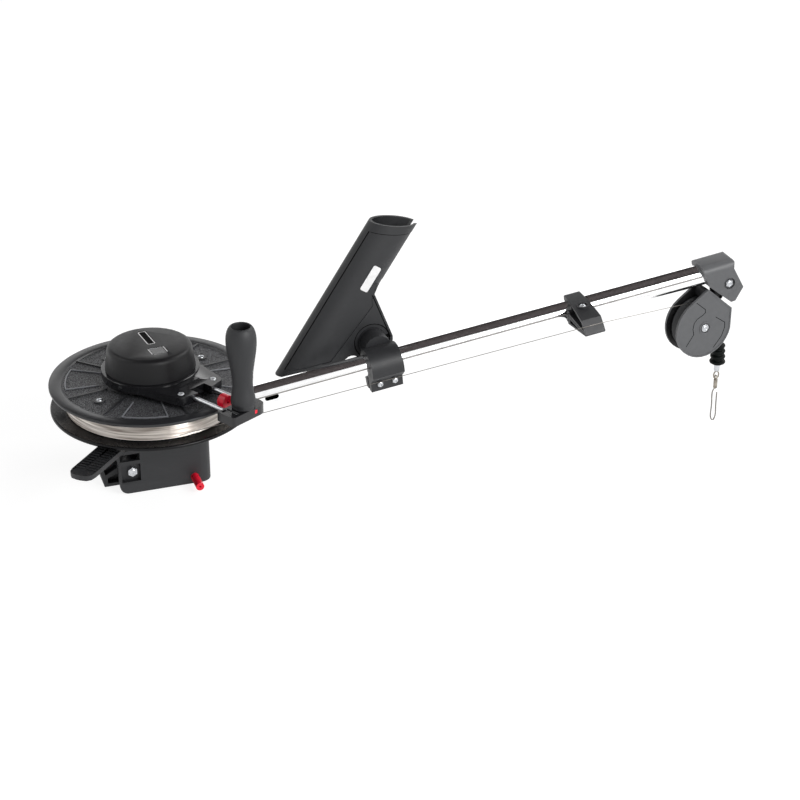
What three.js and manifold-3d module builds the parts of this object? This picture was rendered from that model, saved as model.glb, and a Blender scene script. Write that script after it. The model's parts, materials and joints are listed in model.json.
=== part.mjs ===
// A manual downrigger: a boat winch whose long boom lowers a fishing weight on a steel wire.
// Millimetres, +Z up, +X along the boom.
// The origin is under the spool axis, on the mounting face of the foot.

import * as THREE from "three";
import { mergeVertices } from "three/addons/utils/BufferGeometryUtils.js";
import Module from "manifold-3d";

const wasm = await Module();
wasm.setup();

// Driving dimensions
const boomDiameter = 31.75;
const boomWall = 1.65;
const boomLength = 854;
const boomRiseAngle = 7.5;
const boomOffset = 7;
const boomHeight = 76.5;
const spoolHeight = 111.5;
const spoolRadius = 137;
const drumWidth = 30.6;
const wireDiameter = 1;
const gap = 0.3;
const overrun = 3;

const boomRadius = boomDiameter / 2;
const boomBore = boomRadius + gap;
const wireRadius = wireDiameter / 2;
const boomRise = THREE.MathUtils.degToRad(boomRiseAngle);

// Pivot bolt and lock pin, which join the frame to the foot
const pivot = {
  x: -40.5,
  z: 32.3,
  shankRadius: 4,
  barrelRadius: 13,
  hexFlats: 12,
  headHeight: 5.2,
  nutHeight: 6.5,
};
const lockPin = { x: 44.5, z: 11, radius: 5.8, bossRadius: 10, outerEnd: -70, eyeRadius: 1.3, eyeDepth: 6 };

// Foot, an upright block between the cheeks of the frame
const foot = {
  left: -75,
  leftLean: 6,
  leanHeight: 27,
  right: 62,
  height: 44,
  nearFace: -10,
  width: 34,
  pocketDepth: 11,
  rib: 5,
  boltRadius: 4.3,
  boltDepth: 22,
  boltPad: 18,
};
const footBoltPlaces = [-18, 20];

// Frame: two cheeks, a deck, the boom socket and the spindle boss
const frame = {
  nearFace: -40,
  farFace: 54,
  cheekWall: 5,
  left: -59,
  right: 69.7,
  topLeft: -66,
  clearance: 1.2,
  corner: 12,
  endCorner: 16,
  leanHeight: 46,
  deckTop: 69,
  deckWall: 5,
  deckLeft: -48,
  restLeft: 50,
  restWidth: 6,
  bossRadius: 22,
  bossTop: 98,
};
const boltPocket = { left: -56, right: -30, bottom: 19, top: 45, depth: 7, wall: 3 };
const frameWindow = { inset: 1.5, sill: 2.5, lintel: 3 };
const socket = { start: -20, boreStart: -10, end: 66, wall: 5.2, corner: 7, boltPlace: 45, boltRadius: 3 };

// Spindle and the running parts on it; heights are above the underside of the lower flange
const spindle = { radius: 8, flangeRadius: 20, flangeHeight: 4, seatDepth: 2.2, top: 83.7 };
const bush = { outerRadius: 11, flangeRadius: 15, flangeHeight: 2 };
const ratchet = { tipRadius: 30, rootRadius: 26, toothCount: 24, bottom: -7.2, gapAngle: 256, tipShare: 0.3 };
const flange = {
  thickness: 4.2,
  rimWidth: 16,
  recess: 1.6,
  edge: 0.9,
  hubRadius: 45,
  hubRise: 3,
  ribWidth: 3,
  ribSpreadAngle: 17,
  ribStart: 64,
};
const flangeScrew = {
  edgeDistance: 8,
  firstAngle: 28,
  count: 4,
  headRadius: 4.6,
  shankRadius: 2.3,
  length: 14,
  bossRadius: 8,
};
const core = { ringWall: 13, hubRadius: 17, webThickness: 6 };

// Wire on the drum: a plain ring of the inner layers and one outer layer wound loop by loop
const winding = {
  stepsPerLoop: 24,
  sides: 6,
  pitch: 1.45,
  radius: 116.3,
  layerGap: 1,
  lowest: 5,
  depth: 18,
};
const drumRadius = winding.radius - winding.depth - gap;

// Crank: a hub disc with a broad arm, two sliding rods, an end plate and a turned grip
const crankAngle = -60;
const crank = {
  hubRadius: 66,
  hubBottom: 46,
  hubTop: 57.7,
  hubBevel: 0.6,
  armLength: 105,
  armHalfWidth: 36,
  armBottom: 44,
  armTop: 56,
  armCorner: 7,
  armShoulder: 59,
  forkHalfWidth: 12.5,
  forkDepth: 15,
  padRadius: 44,
  padBottom: 42,
  barWidth: 5,
  barHeight: 1.6,
  nutFlats: 24,
  nutHeight: 6.5,
};
const armScrew = { inset: 15, spread: 29.3, headRadius: 4.6, headHeight: 2.4, shankRadius: 2.3, length: 10 };
const rod = { radius: 3, spread: 17.5, height: 50, innerEnd: 60, outerEnd: 182, travel: 36 };
const handlePlate = {
  start: 160,
  end: 190,
  nearSide: -31.6,
  farSide: 29,
  bottom: 41.5,
  top: 54.5,
  corner: 12,
  nearCorner: 4,
  rim: 3,
  hollowDepth: 1.5,
};
const button = {
  start: 135.5,
  end: 148,
  radius: 9.3,
  height: 52,
  waistRadius: 8.2,
  eyeRadius: 1.9,
  eyeDepth: 5,
  stemNear: 7,
  stemFar: 11,
  stemBottom: 46.5,
  stemTop: 51.5,
  travel: 5,
};
const grip = {
  place: 176,
  height: 115.3,
  baseRadius: 15.5,
  flareRadius: 16.3,
  waistRadius: 13.3,
  bulgeRadius: 20.2,
  topRadius: 16,
  hollowRadius: 12.4,
  hollowDepth: 42,
  boreRadius: 4.3,
};
const gripBolt = { radius: 4, headRadius: 8, headHeight: 3 };

// Dome cap with the line counter, turned a little from the frame's axes
const domeAngle = 7;
const dome = {
  bottom: 58,
  top: 90,
  baseRadius: 61,
  shoulderRadius: 57.5,
  flatRadius: 50,
  shoulder: 8,
  wall: 2.5,
  bossRadius: 11,
  bossBottom: 70,
  shoulderShares: [[1, 0], [0.93, 0.38], [0.76, 0.68], [0.45, 0.9], [0, 1]],
};
const counter = {
  x: 3.2,
  y: -24.5,
  windowWidth: 19,
  windowLength: 21.5,
  paneHeight: 1.8,
  wheelRadius: 12.5,
  wheelWidth: 5.4,
  wheelPitch: 6,
  axisHeight: 73.5,
  shaftRadius: 1.5,
  lug: 3,
  lugWidth: 9,
  lugDrop: 4.5,
};
const badge = { y: 19.7, width: 12, length: 43, depth: 0.8, corner: 3 };

// Ratchet release lever under the lower flange
const lever = {
  angle: 227.8,
  pivotRadius: 43,
  bottom: 93,
  thickness: 7,
  reach: 152,
  halfWidth: 17,
  neckHalfWidth: 9,
  neckEnd: 40,
  broadStart: 66,
  corner: 14,
  hubRadius: 11,
  pawlX: -16.4,
  pawlY: 16,
  pawlTop: 109,
  pawlWidth: 2.2,
  pawlBack: 9,
  bossRadius: 8,
  screwRadius: 3,
  screwHeadRadius: 6,
  screwHeadHeight: 3,
  screwDepth: 14,
  tipLength: 17,
  ribPitch: 6.2,
  ribWidth: 3,
  ribHeight: 1.4,
  ribLength: 13.2,
  ribCentre: 8.2,
};

// Rod holder and the clamp that carries it.
// In boom coordinates: x along the boom, y across, z up from its axis.
const clamp = {
  start: 310,
  length: 47,
  topHeight: 24.2,
  nearWidth: 29.7,
  nearBottom: -8.6,
  throatWidth: 13.8,
  throatHeight: -22,
  flangeWidth: 11.5,
  flangeBottom: -37.9,
  farWidth: 24,
  split: 4.4,
  screwSpacing: 22,
  screwHeight: -25.5,
  screwRadius: 2.5,
  screwFlats: 8,
  screwHeadHeight: 3.4,
  screwEnd: 0.6,
};
const post = { place: 333.5, height: 16, radius: 20, start: 8, end: 35.7, boltRadius: 6 };
const holder = {
  tiltAngle: 49.4,
  axisOffset: 59.7,
  centre: 59.5,
  halfDepth: 31.8,
  halfWidth: 23.5,
  wall: 4,
  mouth: 162.9,
  mouthLeanAngle: -25,
  boreFloor: -52,
  lowest: -112,
  cutHeight: -8,
  bossRadius: 31,
  bossNear: 36,
  bossDepth: 22,
  bossStartAngle: -49,
  bossEndAngle: -96,
  gussetTop: 76,
  gussetKneeX: 62.4,
  gussetKneeZ: 35.9,
  archRadius: 12,
  archX: -42,
  archZ: 9,
  archStartAngle: -20,
  archEndAngle: 80,
  heelX: -62,
  slotWidth: 14,
  slotDepth: 34,
  ringOuter: 27,
  ringInner: 21,
  ringDepth: 1,
  panelDepth: 0.8,
  panelTop: 12,
  panelSide: 2.7,
  panelFoot: 9,
  panelRim: 8,
};

// Line guide: an arm over the boom and a jaw under it, drawn together by one bolt
const guide = {
  start: 613,
  end: 643,
  topHeight: 20,
  hook: 12.5,
  topFront: -23,
  shoulderY: -64.4,
  shoulderZ: 13.8,
  browY: -74,
  browZ: 1.5,
  noseY: -77.5,
  noseZ: -4,
  lipY: -76,
  lipZ: -6.2,
  jawY: -12.3,
  jawZ: -14.4,
  wall: 4,
  split: 0.8,
  seatStartAngle: 48,
  splitAngle: 176,
  jawStartAngle: 180,
  jawEndAngle: 226,
  taper: 6.5,
  taperDepth: 8,
  boltX: 630,
  boltY: -31,
  boltRadius: 2.5,
  headRadius: 5,
  counterboreRadius: 6.7,
  counterboreDepth: 2.4,
};
const wireGuide = {
  x: 643.6,
  y: -71.5,
  z: 6.1,
  leaveHeight: 9,
  drumClearance: 0.4,
  bendStartShare: 0.03,
  bendEndShare: 0.1,
  spanShares: [0.5, 0.9],
  hangShares: [0.15, 0.5, 1],
};

// End cap on the boom, and the pulley head that swivels under it
const cap = {
  topStart: 825,
  topEnd: 873,
  topHeight: 19.5,
  rightX: 888,
  rightZ: -27,
  heelX: 874,
  heelZ: -46,
  mitreX: 867,
  mitreZ: -46.4,
  throatX: 832.6,
  throatZ: -11.5,
  halfWidth: 22,
  topCorner: 13,
  crown: 11,
  crownStartAngle: 12,
  boltX: 865.9,
  boltZ: -15.7,
  boltRadius: 3,
  headRadius: 6,
  headHeight: 3.6,
  counterbore: 9,
  counterboreDepth: 4,
};
const head = {
  x: 822.5,
  y: -3.1,
  z: -78.8,
  yawAngle: 6,
  pivotX: 30,
  halfWidth: 17,
  cheekWall: 4,
  roundX: -2,
  roundZ: 1,
  roundRadius: 47,
  roundEndAngle: 343,
  peakX: 9.5,
  peakZ: 60.7,
  cornerX: 47.3,
  cornerZ: 18.7,
  border: 2.6,
  panelDepth: 0.7,
  hubRadius: 7.6,
  hubDepth: 2,
  neckRadius: 43.2,
  neckStartAngle: 84,
  neckEndAngle: 26,
  postRadius: 7.7,
  collarRadius: 11,
  sideGap: 0.3,
};
const pulley = {
  wireCentre: 38,
  rimRadius: 42,
  rimHalfWidth: 9.4,
  grooveHalfWidth: 8,
  grooveBottom: 2,
  rimInner: 31,
  webHalfWidth: 3,
  hubRadius: 9,
  axleRadius: 4,
  axleHeadRadius: 6,
  axleHeadHeight: 1.7,
};

// What hangs on the wire's end; heights are lengths down from the pulley's axle
const tail = {
  stopperTop: 37.5,
  stopperLength: 35,
  stopperRadius: 12,
  stopperNeck: 8.6,
  stopperRibs: 4,
  stopperTaperShare: 0.05,
  ribStartShare: 0.25,
  ribEndShare: 0.6,
  neckStartShare: 0.85,
  crimpLength: 11.5,
  crimpRadius: 4.4,
  eyeLength: 15,
  eyeRadius: 4.2,
  eyeWire: 1.1,
  linkLength: 14,
  linkWidthShare: 0.8,
  barrelShare: 0.7,
  snapLength: 57,
  snapRadius: 3.6,
  snapWire: 1,
  snapGap: 0.42,
  snapTipShare: 0.4,
  snapTipDropShare: 0.03,
  snapShoulderShare: 0.1,
  snapLatchShare: 0.16,
  snapHeelShare: 0.12,
};

const degrees = THREE.MathUtils.degToRad;
const at = (x, y, z) => new THREE.Vector3(x, y, z);

// Closed solids and their joins and cuts

function solidOf(geometry) {
  const bare = geometry.clone();
  for (const name of Object.keys(bare.attributes)) {
    if (name !== "position") {
      bare.deleteAttribute(name);
    }
  }
  const merged = mergeVertices(bare, gap / 1000);
  const mesh = new wasm.Mesh({
    numProp: 3,
    vertProperties: merged.attributes.position.array,
    triVerts: new Uint32Array(merged.index.array),
  });
  return new wasm.Manifold(mesh);
}

function geometryOf(solid) {
  const mesh = solid.getMesh();
  const geometry = new THREE.BufferGeometry();
  geometry.setAttribute("position", new THREE.BufferAttribute(mesh.vertProperties, 3));
  geometry.setIndex(new THREE.BufferAttribute(mesh.triVerts, 1));
  return geometry;
}

function shaped({ body, add = [], cut = [], keep = [] }) {
  let solid = solidOf(body);
  for (const piece of add) {
    solid = solid.add(solidOf(piece));
  }
  for (const piece of keep) {
    solid = solid.intersect(solidOf(piece));
  }
  for (const piece of cut) {
    solid = solid.subtract(solidOf(piece));
  }
  return geometryOf(solid);
}

// Basic forms: each takes its place in the piece's own frame

function shapeOf(points) {
  return new THREE.Shape(points.map(([x, y]) => new THREE.Vector2(x, y)));
}

function raised(shape, bottom, top) {
  const options = { depth: top - bottom, bevelEnabled: false, curveSegments: 3 };
  const form = new THREE.ExtrudeGeometry(shape, options);
  return form.translate(0, 0, bottom);
}

function acrossY(shape, near, far) {
  return raised(shape, 0, far - near).rotateX(Math.PI / 2).translate(0, far, 0);
}

function alongX(shape, start, end) {
  const turn = new THREE.Matrix4().makeBasis(at(0, 1, 0), at(0, 0, 1), at(1, 0, 0));
  return raised(shape, start, end).applyMatrix4(turn);
}

function block(x0, x1, y0, y1, z0, z1) {
  const form = new THREE.BoxGeometry(x1 - x0, y1 - y0, z1 - z0);
  return form.translate((x0 + x1) / 2, (y0 + y1) / 2, (z0 + z1) / 2);
}

function pin(radius, bottom, top, sides = 12) {
  const form = new THREE.CylinderGeometry(radius, radius, top - bottom, sides);
  return form.rotateX(Math.PI / 2).translate(0, 0, (bottom + top) / 2);
}

function pinY(radius, near, far, x, z, sides = 12) {
  return pin(radius, near, far, sides).rotateX(-Math.PI / 2).translate(x, 0, z);
}

function pinX(radius, start, end, y, z, sides = 12) {
  return pin(radius, start, end, sides).rotateY(Math.PI / 2).translate(0, y, z);
}

function hex(flats, bottom, top) {
  return pin(flats / Math.sqrt(3), bottom, top, 6);
}

function turned(profile, segments = 24) {
  const points = profile.map(([r, z]) => new THREE.Vector2(r, z));
  return new THREE.LatheGeometry(points, segments).rotateX(Math.PI / 2);
}

function ringProfile(inner, outer, bottom, top) {
  return [[inner, bottom], [outer, bottom], [outer, top], [inner, top], [inner, bottom]];
}

function rounded(x0, x1, y0, y1, radius) {
  const shape = new THREE.Shape();
  shape.moveTo(x0 + radius, y0);
  shape.lineTo(x1 - radius, y0);
  shape.absarc(x1 - radius, y0 + radius, radius, -Math.PI / 2, 0);
  shape.lineTo(x1, y1 - radius);
  shape.absarc(x1 - radius, y1 - radius, radius, 0, Math.PI / 2);
  shape.lineTo(x0 + radius, y1);
  shape.absarc(x0 + radius, y1 - radius, radius, Math.PI / 2, Math.PI);
  shape.lineTo(x0, y0 + radius);
  shape.absarc(x0 + radius, y0 + radius, radius, Math.PI, 1.5 * Math.PI);
  return shape;
}

function polar(radius, angle) {
  return [radius * Math.cos(degrees(angle)), radius * Math.sin(degrees(angle))];
}

function arcPoints(x, y, radius, from, to, steps) {
  return Array.from({ length: steps + 1 }, (_, i) => {
    const [dx, dy] = polar(radius, from + ((to - from) * i) / steps);
    return [x + dx, y + dy];
  });
}

// A round wire along a smooth route
function wireAlong(points, radius, steps, sides = 6) {
  const section = shapeOf(arcPoints(0, 0, radius, 0, 360 - 360 / sides, sides - 1));
  const route = new THREE.CatmullRomCurve3(points, false, "centripetal");
  return new THREE.ExtrudeGeometry(section, { steps, extrudePath: route, bevelEnabled: false });
}

// Scene graph
const downrigger = new THREE.Group();
const boomGroup = new THREE.Group();
const spoolGroup = new THREE.Group();
const crankGroup = new THREE.Group();
const domeGroup = new THREE.Group();
const leverGroup = new THREE.Group();
const holderGroup = new THREE.Group();
const headGroup = new THREE.Group();
const plumbYaw = new THREE.Group();
const plumb = new THREE.Group();
downrigger.add(boomGroup, spoolGroup, crankGroup, domeGroup, leverGroup);
boomGroup.add(holderGroup, headGroup);
headGroup.add(plumbYaw);
plumbYaw.add(plumb);
boomGroup.position.set(0, boomOffset, boomHeight);
boomGroup.rotation.y = -boomRise;
spoolGroup.position.z = spoolHeight;
crankGroup.position.z = spoolHeight;
crankGroup.rotation.z = degrees(crankAngle);
domeGroup.position.z = spoolHeight;
domeGroup.rotation.z = degrees(domeAngle);
const [leverX, leverY] = polar(lever.pivotRadius, lever.angle);
leverGroup.position.set(leverX, leverY, 0);
leverGroup.rotation.z = degrees(lever.angle);
holderGroup.position.set(post.place, 0, post.height);
holderGroup.rotation.y = -degrees(holder.tiltAngle);
headGroup.position.set(head.x, head.y, head.z);
headGroup.rotation.z = degrees(head.yawAngle);

// The wire leaves the pulley where its groove runs straight down
const hangAngle = -Math.atan(Math.cos(degrees(head.yawAngle)) * Math.tan(boomRise));
const hangPoint = at(Math.cos(hangAngle), 0, Math.sin(hangAngle)).multiplyScalar(pulley.wireCentre);
plumbYaw.position.copy(hangPoint);
plumbYaw.rotation.z = -degrees(head.yawAngle);
plumb.rotation.y = boomRise;

const blackPlastic = [0x2b2c2e, 0.55, 0];
const greyPlastic = [0x3c3d40, 0.5, 0];
const glossPlastic = [0x141416, 0.25, 0];
const redPlastic = [0xd01638, 0.4, 0];
const polishedSteel = [0xe4e4e6, 0.18, 1];
const zincSteel = [0xb9bcc0, 0.35, 1];
const wireSteel = [0xc2b8a6, 0.4, 1];
const brass = [0xc9a45a, 0.35, 1];
const blackRubber = [0x15201e, 0.8, 0];
const clearPane = [0xdfe6ea, 0.1, 0];
const whiteNylon = [0xe8e6df, 0.5, 0];

function piece(group, name, [color, roughness, metalness], geometry) {
  const faceted = geometry.index ? geometry.toNonIndexed() : geometry;
  faceted.computeVertexNormals();
  const mesh = new THREE.Mesh(faceted, new THREE.MeshStandardMaterial({ color, roughness, metalness }));
  mesh.name = name;
  group.add(mesh);
  return mesh;
}

// Foot and its fasteners

function makeFoot() {
  const { left, right, height, nearFace, width, pocketDepth, rib } = foot;
  const farFace = nearFace + width;
  const outline = shapeOf([
    [left, 0],
    [right, 0],
    [right, height],
    [left - foot.leftLean / 2, height],
    [left - foot.leftLean, foot.leanHeight],
  ]);
  const barrelEdge = pivot.x - pivot.barrelRadius;
  const padEdge = footBoltPlaces[0] - foot.boltPad / 2;
  const pockets = [
    [
      [left + rib, rib],
      [pivot.x, rib],
      [barrelEdge, pivot.z - pivot.barrelRadius],
      [left + rib, pivot.barrelRadius],
    ],
    [
      [left - foot.leftLean / 2 + rib, pivot.barrelRadius + rib],
      [barrelEdge - rib / 2, pivot.z - rib],
      [barrelEdge - rib / 2, height - rib],
      [left, height - rib],
      [left, foot.leanHeight],
    ],
    [
      [footBoltPlaces[0] + foot.boltPad / 2, rib],
      [footBoltPlaces[1] - foot.boltPad / 2, rib],
      [footBoltPlaces[1] - foot.boltPad / 2, height - rib],
      [footBoltPlaces[0] + foot.boltPad / 2, height - rib],
    ],
    [
      [footBoltPlaces[1] + foot.boltPad / 2, lockPin.z + lockPin.bossRadius],
      [right - rib, lockPin.z + lockPin.bossRadius],
      [right - rib, height - rib],
      [footBoltPlaces[1] + foot.boltPad / 2, height - rib],
    ],
    [
      [padEdge, rib],
      [pivot.x + rib, rib],
      [padEdge, pivot.z - pivot.barrelRadius],
    ],
  ];
  const cuts = pockets.flatMap((pocket) => [
    acrossY(shapeOf(pocket), nearFace - overrun, nearFace + pocketDepth),
    acrossY(shapeOf(pocket), farFace - pocketDepth, farFace + overrun),
  ]);
  for (const x of footBoltPlaces) {
    cuts.push(pin(foot.boltRadius, -overrun, foot.boltDepth, 32).translate(x, boomOffset, 0));
  }
  cuts.push(pinY(pivot.shankRadius + gap, frame.nearFace, frame.farFace, pivot.x, pivot.z));
  cuts.push(pinY(lockPin.radius + gap, nearFace - overrun, farFace + overrun, lockPin.x, lockPin.z));
  const barrelNear = frame.nearFace + boltPocket.depth + boltPocket.wall + gap;
  const barrelFar = frame.farFace - frame.cheekWall - gap;
  const barrel = pinY(pivot.barrelRadius, barrelNear, barrelFar, pivot.x, pivot.z, 32);
  return shaped({ body: acrossY(outline, nearFace, farFace), add: [barrel], cut: cuts });
}

const pocketFloor = frame.nearFace + boltPocket.depth;

function makePivotBolt() {
  const headFace = pocketFloor - gap;
  const threadEnd = frame.farFace + gap + pivot.nutHeight + gap;
  const shank = pinY(pivot.shankRadius, headFace - gap, threadEnd, pivot.x, pivot.z);
  const hexHead = hex(pivot.hexFlats, headFace - pivot.headHeight, headFace).rotateX(-Math.PI / 2);
  return shaped({ body: shank, add: [hexHead.translate(pivot.x, 0, pivot.z)] });
}

function makePivotNut() {
  const start = frame.farFace + gap;
  const nut = hex(pivot.hexFlats + gap, start, start + pivot.nutHeight).rotateX(-Math.PI / 2);
  const bore = pinY(pivot.shankRadius + gap, start - overrun, start + pivot.nutHeight + overrun, 0, 0);
  return shaped({ body: nut, cut: [bore] }).translate(pivot.x, 0, pivot.z);
}

function makeLockPin() {
  const { radius, outerEnd, eyeRadius, eyeDepth, x, z } = lockPin;
  const innerEnd = foot.nearFace - overrun;
  const shank = pinY(radius, outerEnd, innerEnd, x, z, 28);
  const eye = pinY(eyeRadius, outerEnd - overrun, outerEnd + eyeDepth, x, z);
  return shaped({ body: shank, cut: [eye] });
}

// Frame

function cheekOutline() {
  const { left, right, endCorner, topLeft, clearance, corner, leanHeight, deckTop, deckWall } = frame;
  const top = deckTop - deckWall / 2;
  return shapeOf([
    [right - endCorner, clearance],
    [right - endCorner, top],
    [topLeft, top],
    [left, leanHeight],
    ...arcPoints(left + corner, clearance + corner, corner, 180, 270, 6),
  ]);
}

function makeFrame() {
  const { nearFace, farFace, cheekWall, deckTop, deckWall } = frame;
  const innerNear = nearFace + cheekWall;
  const innerFar = farFace - cheekWall;
  const cheeks = [
    acrossY(cheekOutline(), nearFace, innerNear),
    acrossY(cheekOutline(), innerFar, farFace),
  ];
  const { right, endCorner, clearance } = frame;
  const endOuter = rounded(0, right, nearFace, farFace, endCorner);
  const endInner = rounded(0, right - cheekWall, innerNear, innerFar, endCorner - cheekWall);
  const endWall = shaped({
    body: raised(endOuter, clearance, deckTop),
    cut: [
      raised(endInner, clearance - overrun, deckTop - deckWall),
      block(-overrun, right - endCorner - gap, nearFace - overrun, farFace + overrun, 0, deckTop + overrun),
    ],
  });
  const pocketBack = pocketFloor + boltPocket.wall;
  const pocketBlock = block(
    boltPocket.left - boltPocket.wall,
    boltPocket.right + boltPocket.wall,
    nearFace,
    pocketBack,
    boltPocket.bottom - boltPocket.wall,
    boltPocket.top + boltPocket.wall,
  );
  const deckRight = frame.right - frame.endCorner;
  const deckBottom = deckTop - deckWall;
  const deck = block(frame.deckLeft, deckRight, innerNear - gap, innerFar + gap, deckBottom, deckTop);
  const restBottom = foot.height + gap;
  const rest = block(
    frame.restLeft,
    frame.restLeft + frame.restWidth,
    innerNear - gap,
    innerFar + gap,
    restBottom,
    deckTop - gap,
  );
  const boss = pin(frame.bossRadius, deckBottom, frame.bossTop, 28);
  const leverBoss = pin(lever.bossRadius, deckBottom, lever.bottom - gap).translate(leverX, leverY, 0);
  const pinBoss = pinY(lockPin.bossRadius, innerNear - gap, foot.nearFace - overrun, lockPin.x, lockPin.z);
  const half = boomRadius + socket.wall;
  const socketBody = alongX(rounded(-half, half, -half, half, socket.corner), socket.start, socket.end);
  const tubeBore = pinX(boomBore, socket.boreStart, socket.end + overrun, 0, 0, 24);
  const boomBoltHole = pinY(socket.boltRadius + gap, -half - overrun, half + overrun, socket.boltPlace, 0);
  const inFrame = (form) => form.rotateY(-boomRise).translate(0, boomOffset, boomHeight);
  const window = block(
    boltPocket.left - frameWindow.inset,
    boltPocket.right,
    nearFace - overrun,
    innerNear + gap,
    boltPocket.top + frameWindow.sill + boltPocket.wall,
    deckTop - deckWall - frameWindow.lintel,
  );
  return shaped({
    body: deck,
    add: [...cheeks, endWall, pocketBlock, rest, boss, leverBoss, pinBoss, inFrame(socketBody)],
    cut: [
      inFrame(tubeBore),
      inFrame(boomBoltHole),
      window,
      block(
        boltPocket.left,
        boltPocket.right,
        nearFace - overrun,
        pocketFloor,
        boltPocket.bottom,
        boltPocket.top,
      ),
      pinY(pivot.shankRadius + gap, nearFace, farFace + overrun, pivot.x, pivot.z),
      pinY(lockPin.radius + gap, nearFace - overrun, foot.nearFace, lockPin.x, lockPin.z),
      pin(frame.bossRadius + overrun, frame.bossTop, spoolHeight, 28),
      pin(spindle.radius + gap, frame.bossTop - spindle.seatDepth - gap, spoolHeight),
      pin(lever.screwRadius + gap, lever.bottom - lever.screwDepth - gap, spoolHeight)
        .translate(leverX, leverY, 0),
    ],
  });
}

function makeSpindle() {
  const base = frame.bossTop + gap;
  const top = spoolHeight + spindle.top;
  return turned([
    [0, frame.bossTop - spindle.seatDepth],
    [spindle.radius, frame.bossTop - spindle.seatDepth],
    [spindle.radius, base],
    [spindle.flangeRadius, base],
    [spindle.flangeRadius, base + spindle.flangeHeight],
    [spindle.radius, base + spindle.flangeHeight],
    [spindle.radius, top],
    [0, top],
  ]);
}

// Boom tube with its open slot, and the bolt that holds it in the socket

const boomSlot = { start: 156.6, end: 176.7, width: 8 };

function makeBoomTube() {
  const profile = ringProfile(boomRadius - boomWall, boomRadius, socket.boreStart + gap, boomLength - gap);
  const tube = turned(profile, 28);
  tube.rotateY(Math.PI / 2);
  const { start, end, width } = boomSlot;
  const slot = rounded(start, end, -width / 2, width / 2, width / 2 - gap);
  return shaped({
    body: tube,
    cut: [
      acrossY(slot, -boomRadius - overrun, 0),
      pinY(socket.boltRadius + gap, -boomRadius - overrun, boomRadius + overrun, socket.boltPlace, 0),
    ],
  });
}

function makeBoomBolt() {
  const face = boomRadius + socket.wall + gap;
  const shank = pinY(socket.boltRadius, -face - gap, face, socket.boltPlace, 0);
  const bossHead = pinY(2 * socket.boltRadius, -face - socket.boltRadius, -face, socket.boltPlace, 0);
  return shaped({ body: shank, add: [bossHead] });
}

// Release lever with its ribbed thumb pad and pawl

function makeLever() {
  const top = lever.bottom + lever.thickness;
  const outline = new THREE.Shape();
  outline.moveTo(0, -lever.neckHalfWidth);
  outline.lineTo(lever.neckEnd, -lever.neckHalfWidth);
  outline.lineTo(lever.broadStart, -lever.halfWidth);
  outline.lineTo(lever.reach - lever.corner, -lever.halfWidth);
  outline.quadraticCurveTo(lever.reach, -lever.halfWidth, lever.reach, -lever.halfWidth + lever.corner);
  outline.lineTo(lever.reach, lever.halfWidth - lever.corner);
  outline.quadraticCurveTo(lever.reach, lever.halfWidth, lever.reach - lever.corner, lever.halfWidth);
  outline.lineTo(lever.broadStart, lever.halfWidth);
  outline.lineTo(lever.neckEnd, lever.neckHalfWidth);
  outline.lineTo(0, lever.neckHalfWidth);
  const inward = Math.atan2(-lever.pawlY, -lever.pivotRadius - lever.pawlX);
  const noseShape = shapeOf([
    [0, -lever.pawlWidth / 2],
    [0, lever.pawlWidth / 2],
    [-lever.pawlBack, lever.pawlWidth],
    [-lever.pawlBack, -lever.pawlWidth],
  ]);
  const nose = raised(noseShape, lever.bottom, lever.pawlTop).rotateZ(inward);
  nose.translate(lever.pawlX, lever.pawlY, 0);
  const backX = lever.pawlX - lever.pawlBack * Math.cos(inward);
  const backY = lever.pawlY - lever.pawlBack * Math.sin(inward);
  const arm = shapeOf([
    [-lever.neckHalfWidth / 2, -lever.neckHalfWidth / 2],
    [lever.neckHalfWidth, lever.neckHalfWidth / 2],
    [backX + lever.pawlWidth, backY + lever.pawlWidth * 2],
    [backX - lever.pawlWidth * 2, backY - lever.pawlWidth],
  ]);
  const ribs = [];
  const lastRib = lever.reach - lever.tipLength - lever.ribWidth;
  for (let x = lastRib; x > lever.broadStart; x -= lever.ribPitch) {
    for (const side of [-1, 1]) {
      const y = side * lever.ribCentre;
      ribs.push(
        block(
          x,
          x + lever.ribWidth,
          y - lever.ribLength / 2,
          y + lever.ribLength / 2,
          top - gap,
          top + lever.ribHeight,
        ),
      );
    }
  }
  return shaped({
    body: raised(outline, lever.bottom, top),
    add: [pin(lever.hubRadius, lever.bottom, top), raised(arm, lever.bottom, top), nose, ...ribs],
    cut: [pin(lever.screwRadius + gap, lever.bottom - overrun, top + overrun)],
  });
}

function makeLeverScrew() {
  const seat = lever.bottom + lever.thickness + gap;
  return turned([
    [0, lever.bottom - lever.screwDepth],
    [lever.screwRadius, lever.bottom - lever.screwDepth],
    [lever.screwRadius, seat],
    [lever.screwHeadRadius, seat],
    [lever.screwHeadRadius, seat + lever.screwHeadHeight],
    [0, seat + lever.screwHeadHeight],
  ], 14);
}

// Spool: ratchet wheel, two ribbed flanges, drum core, bushes, screws and the wire on it

const upperBottom = flange.thickness + drumWidth;
const coreBottom = flange.thickness + gap;
const coreTop = upperBottom - gap;
const loopCount = Math.floor((upperBottom - wireRadius - winding.lowest) / winding.pitch);

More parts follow.
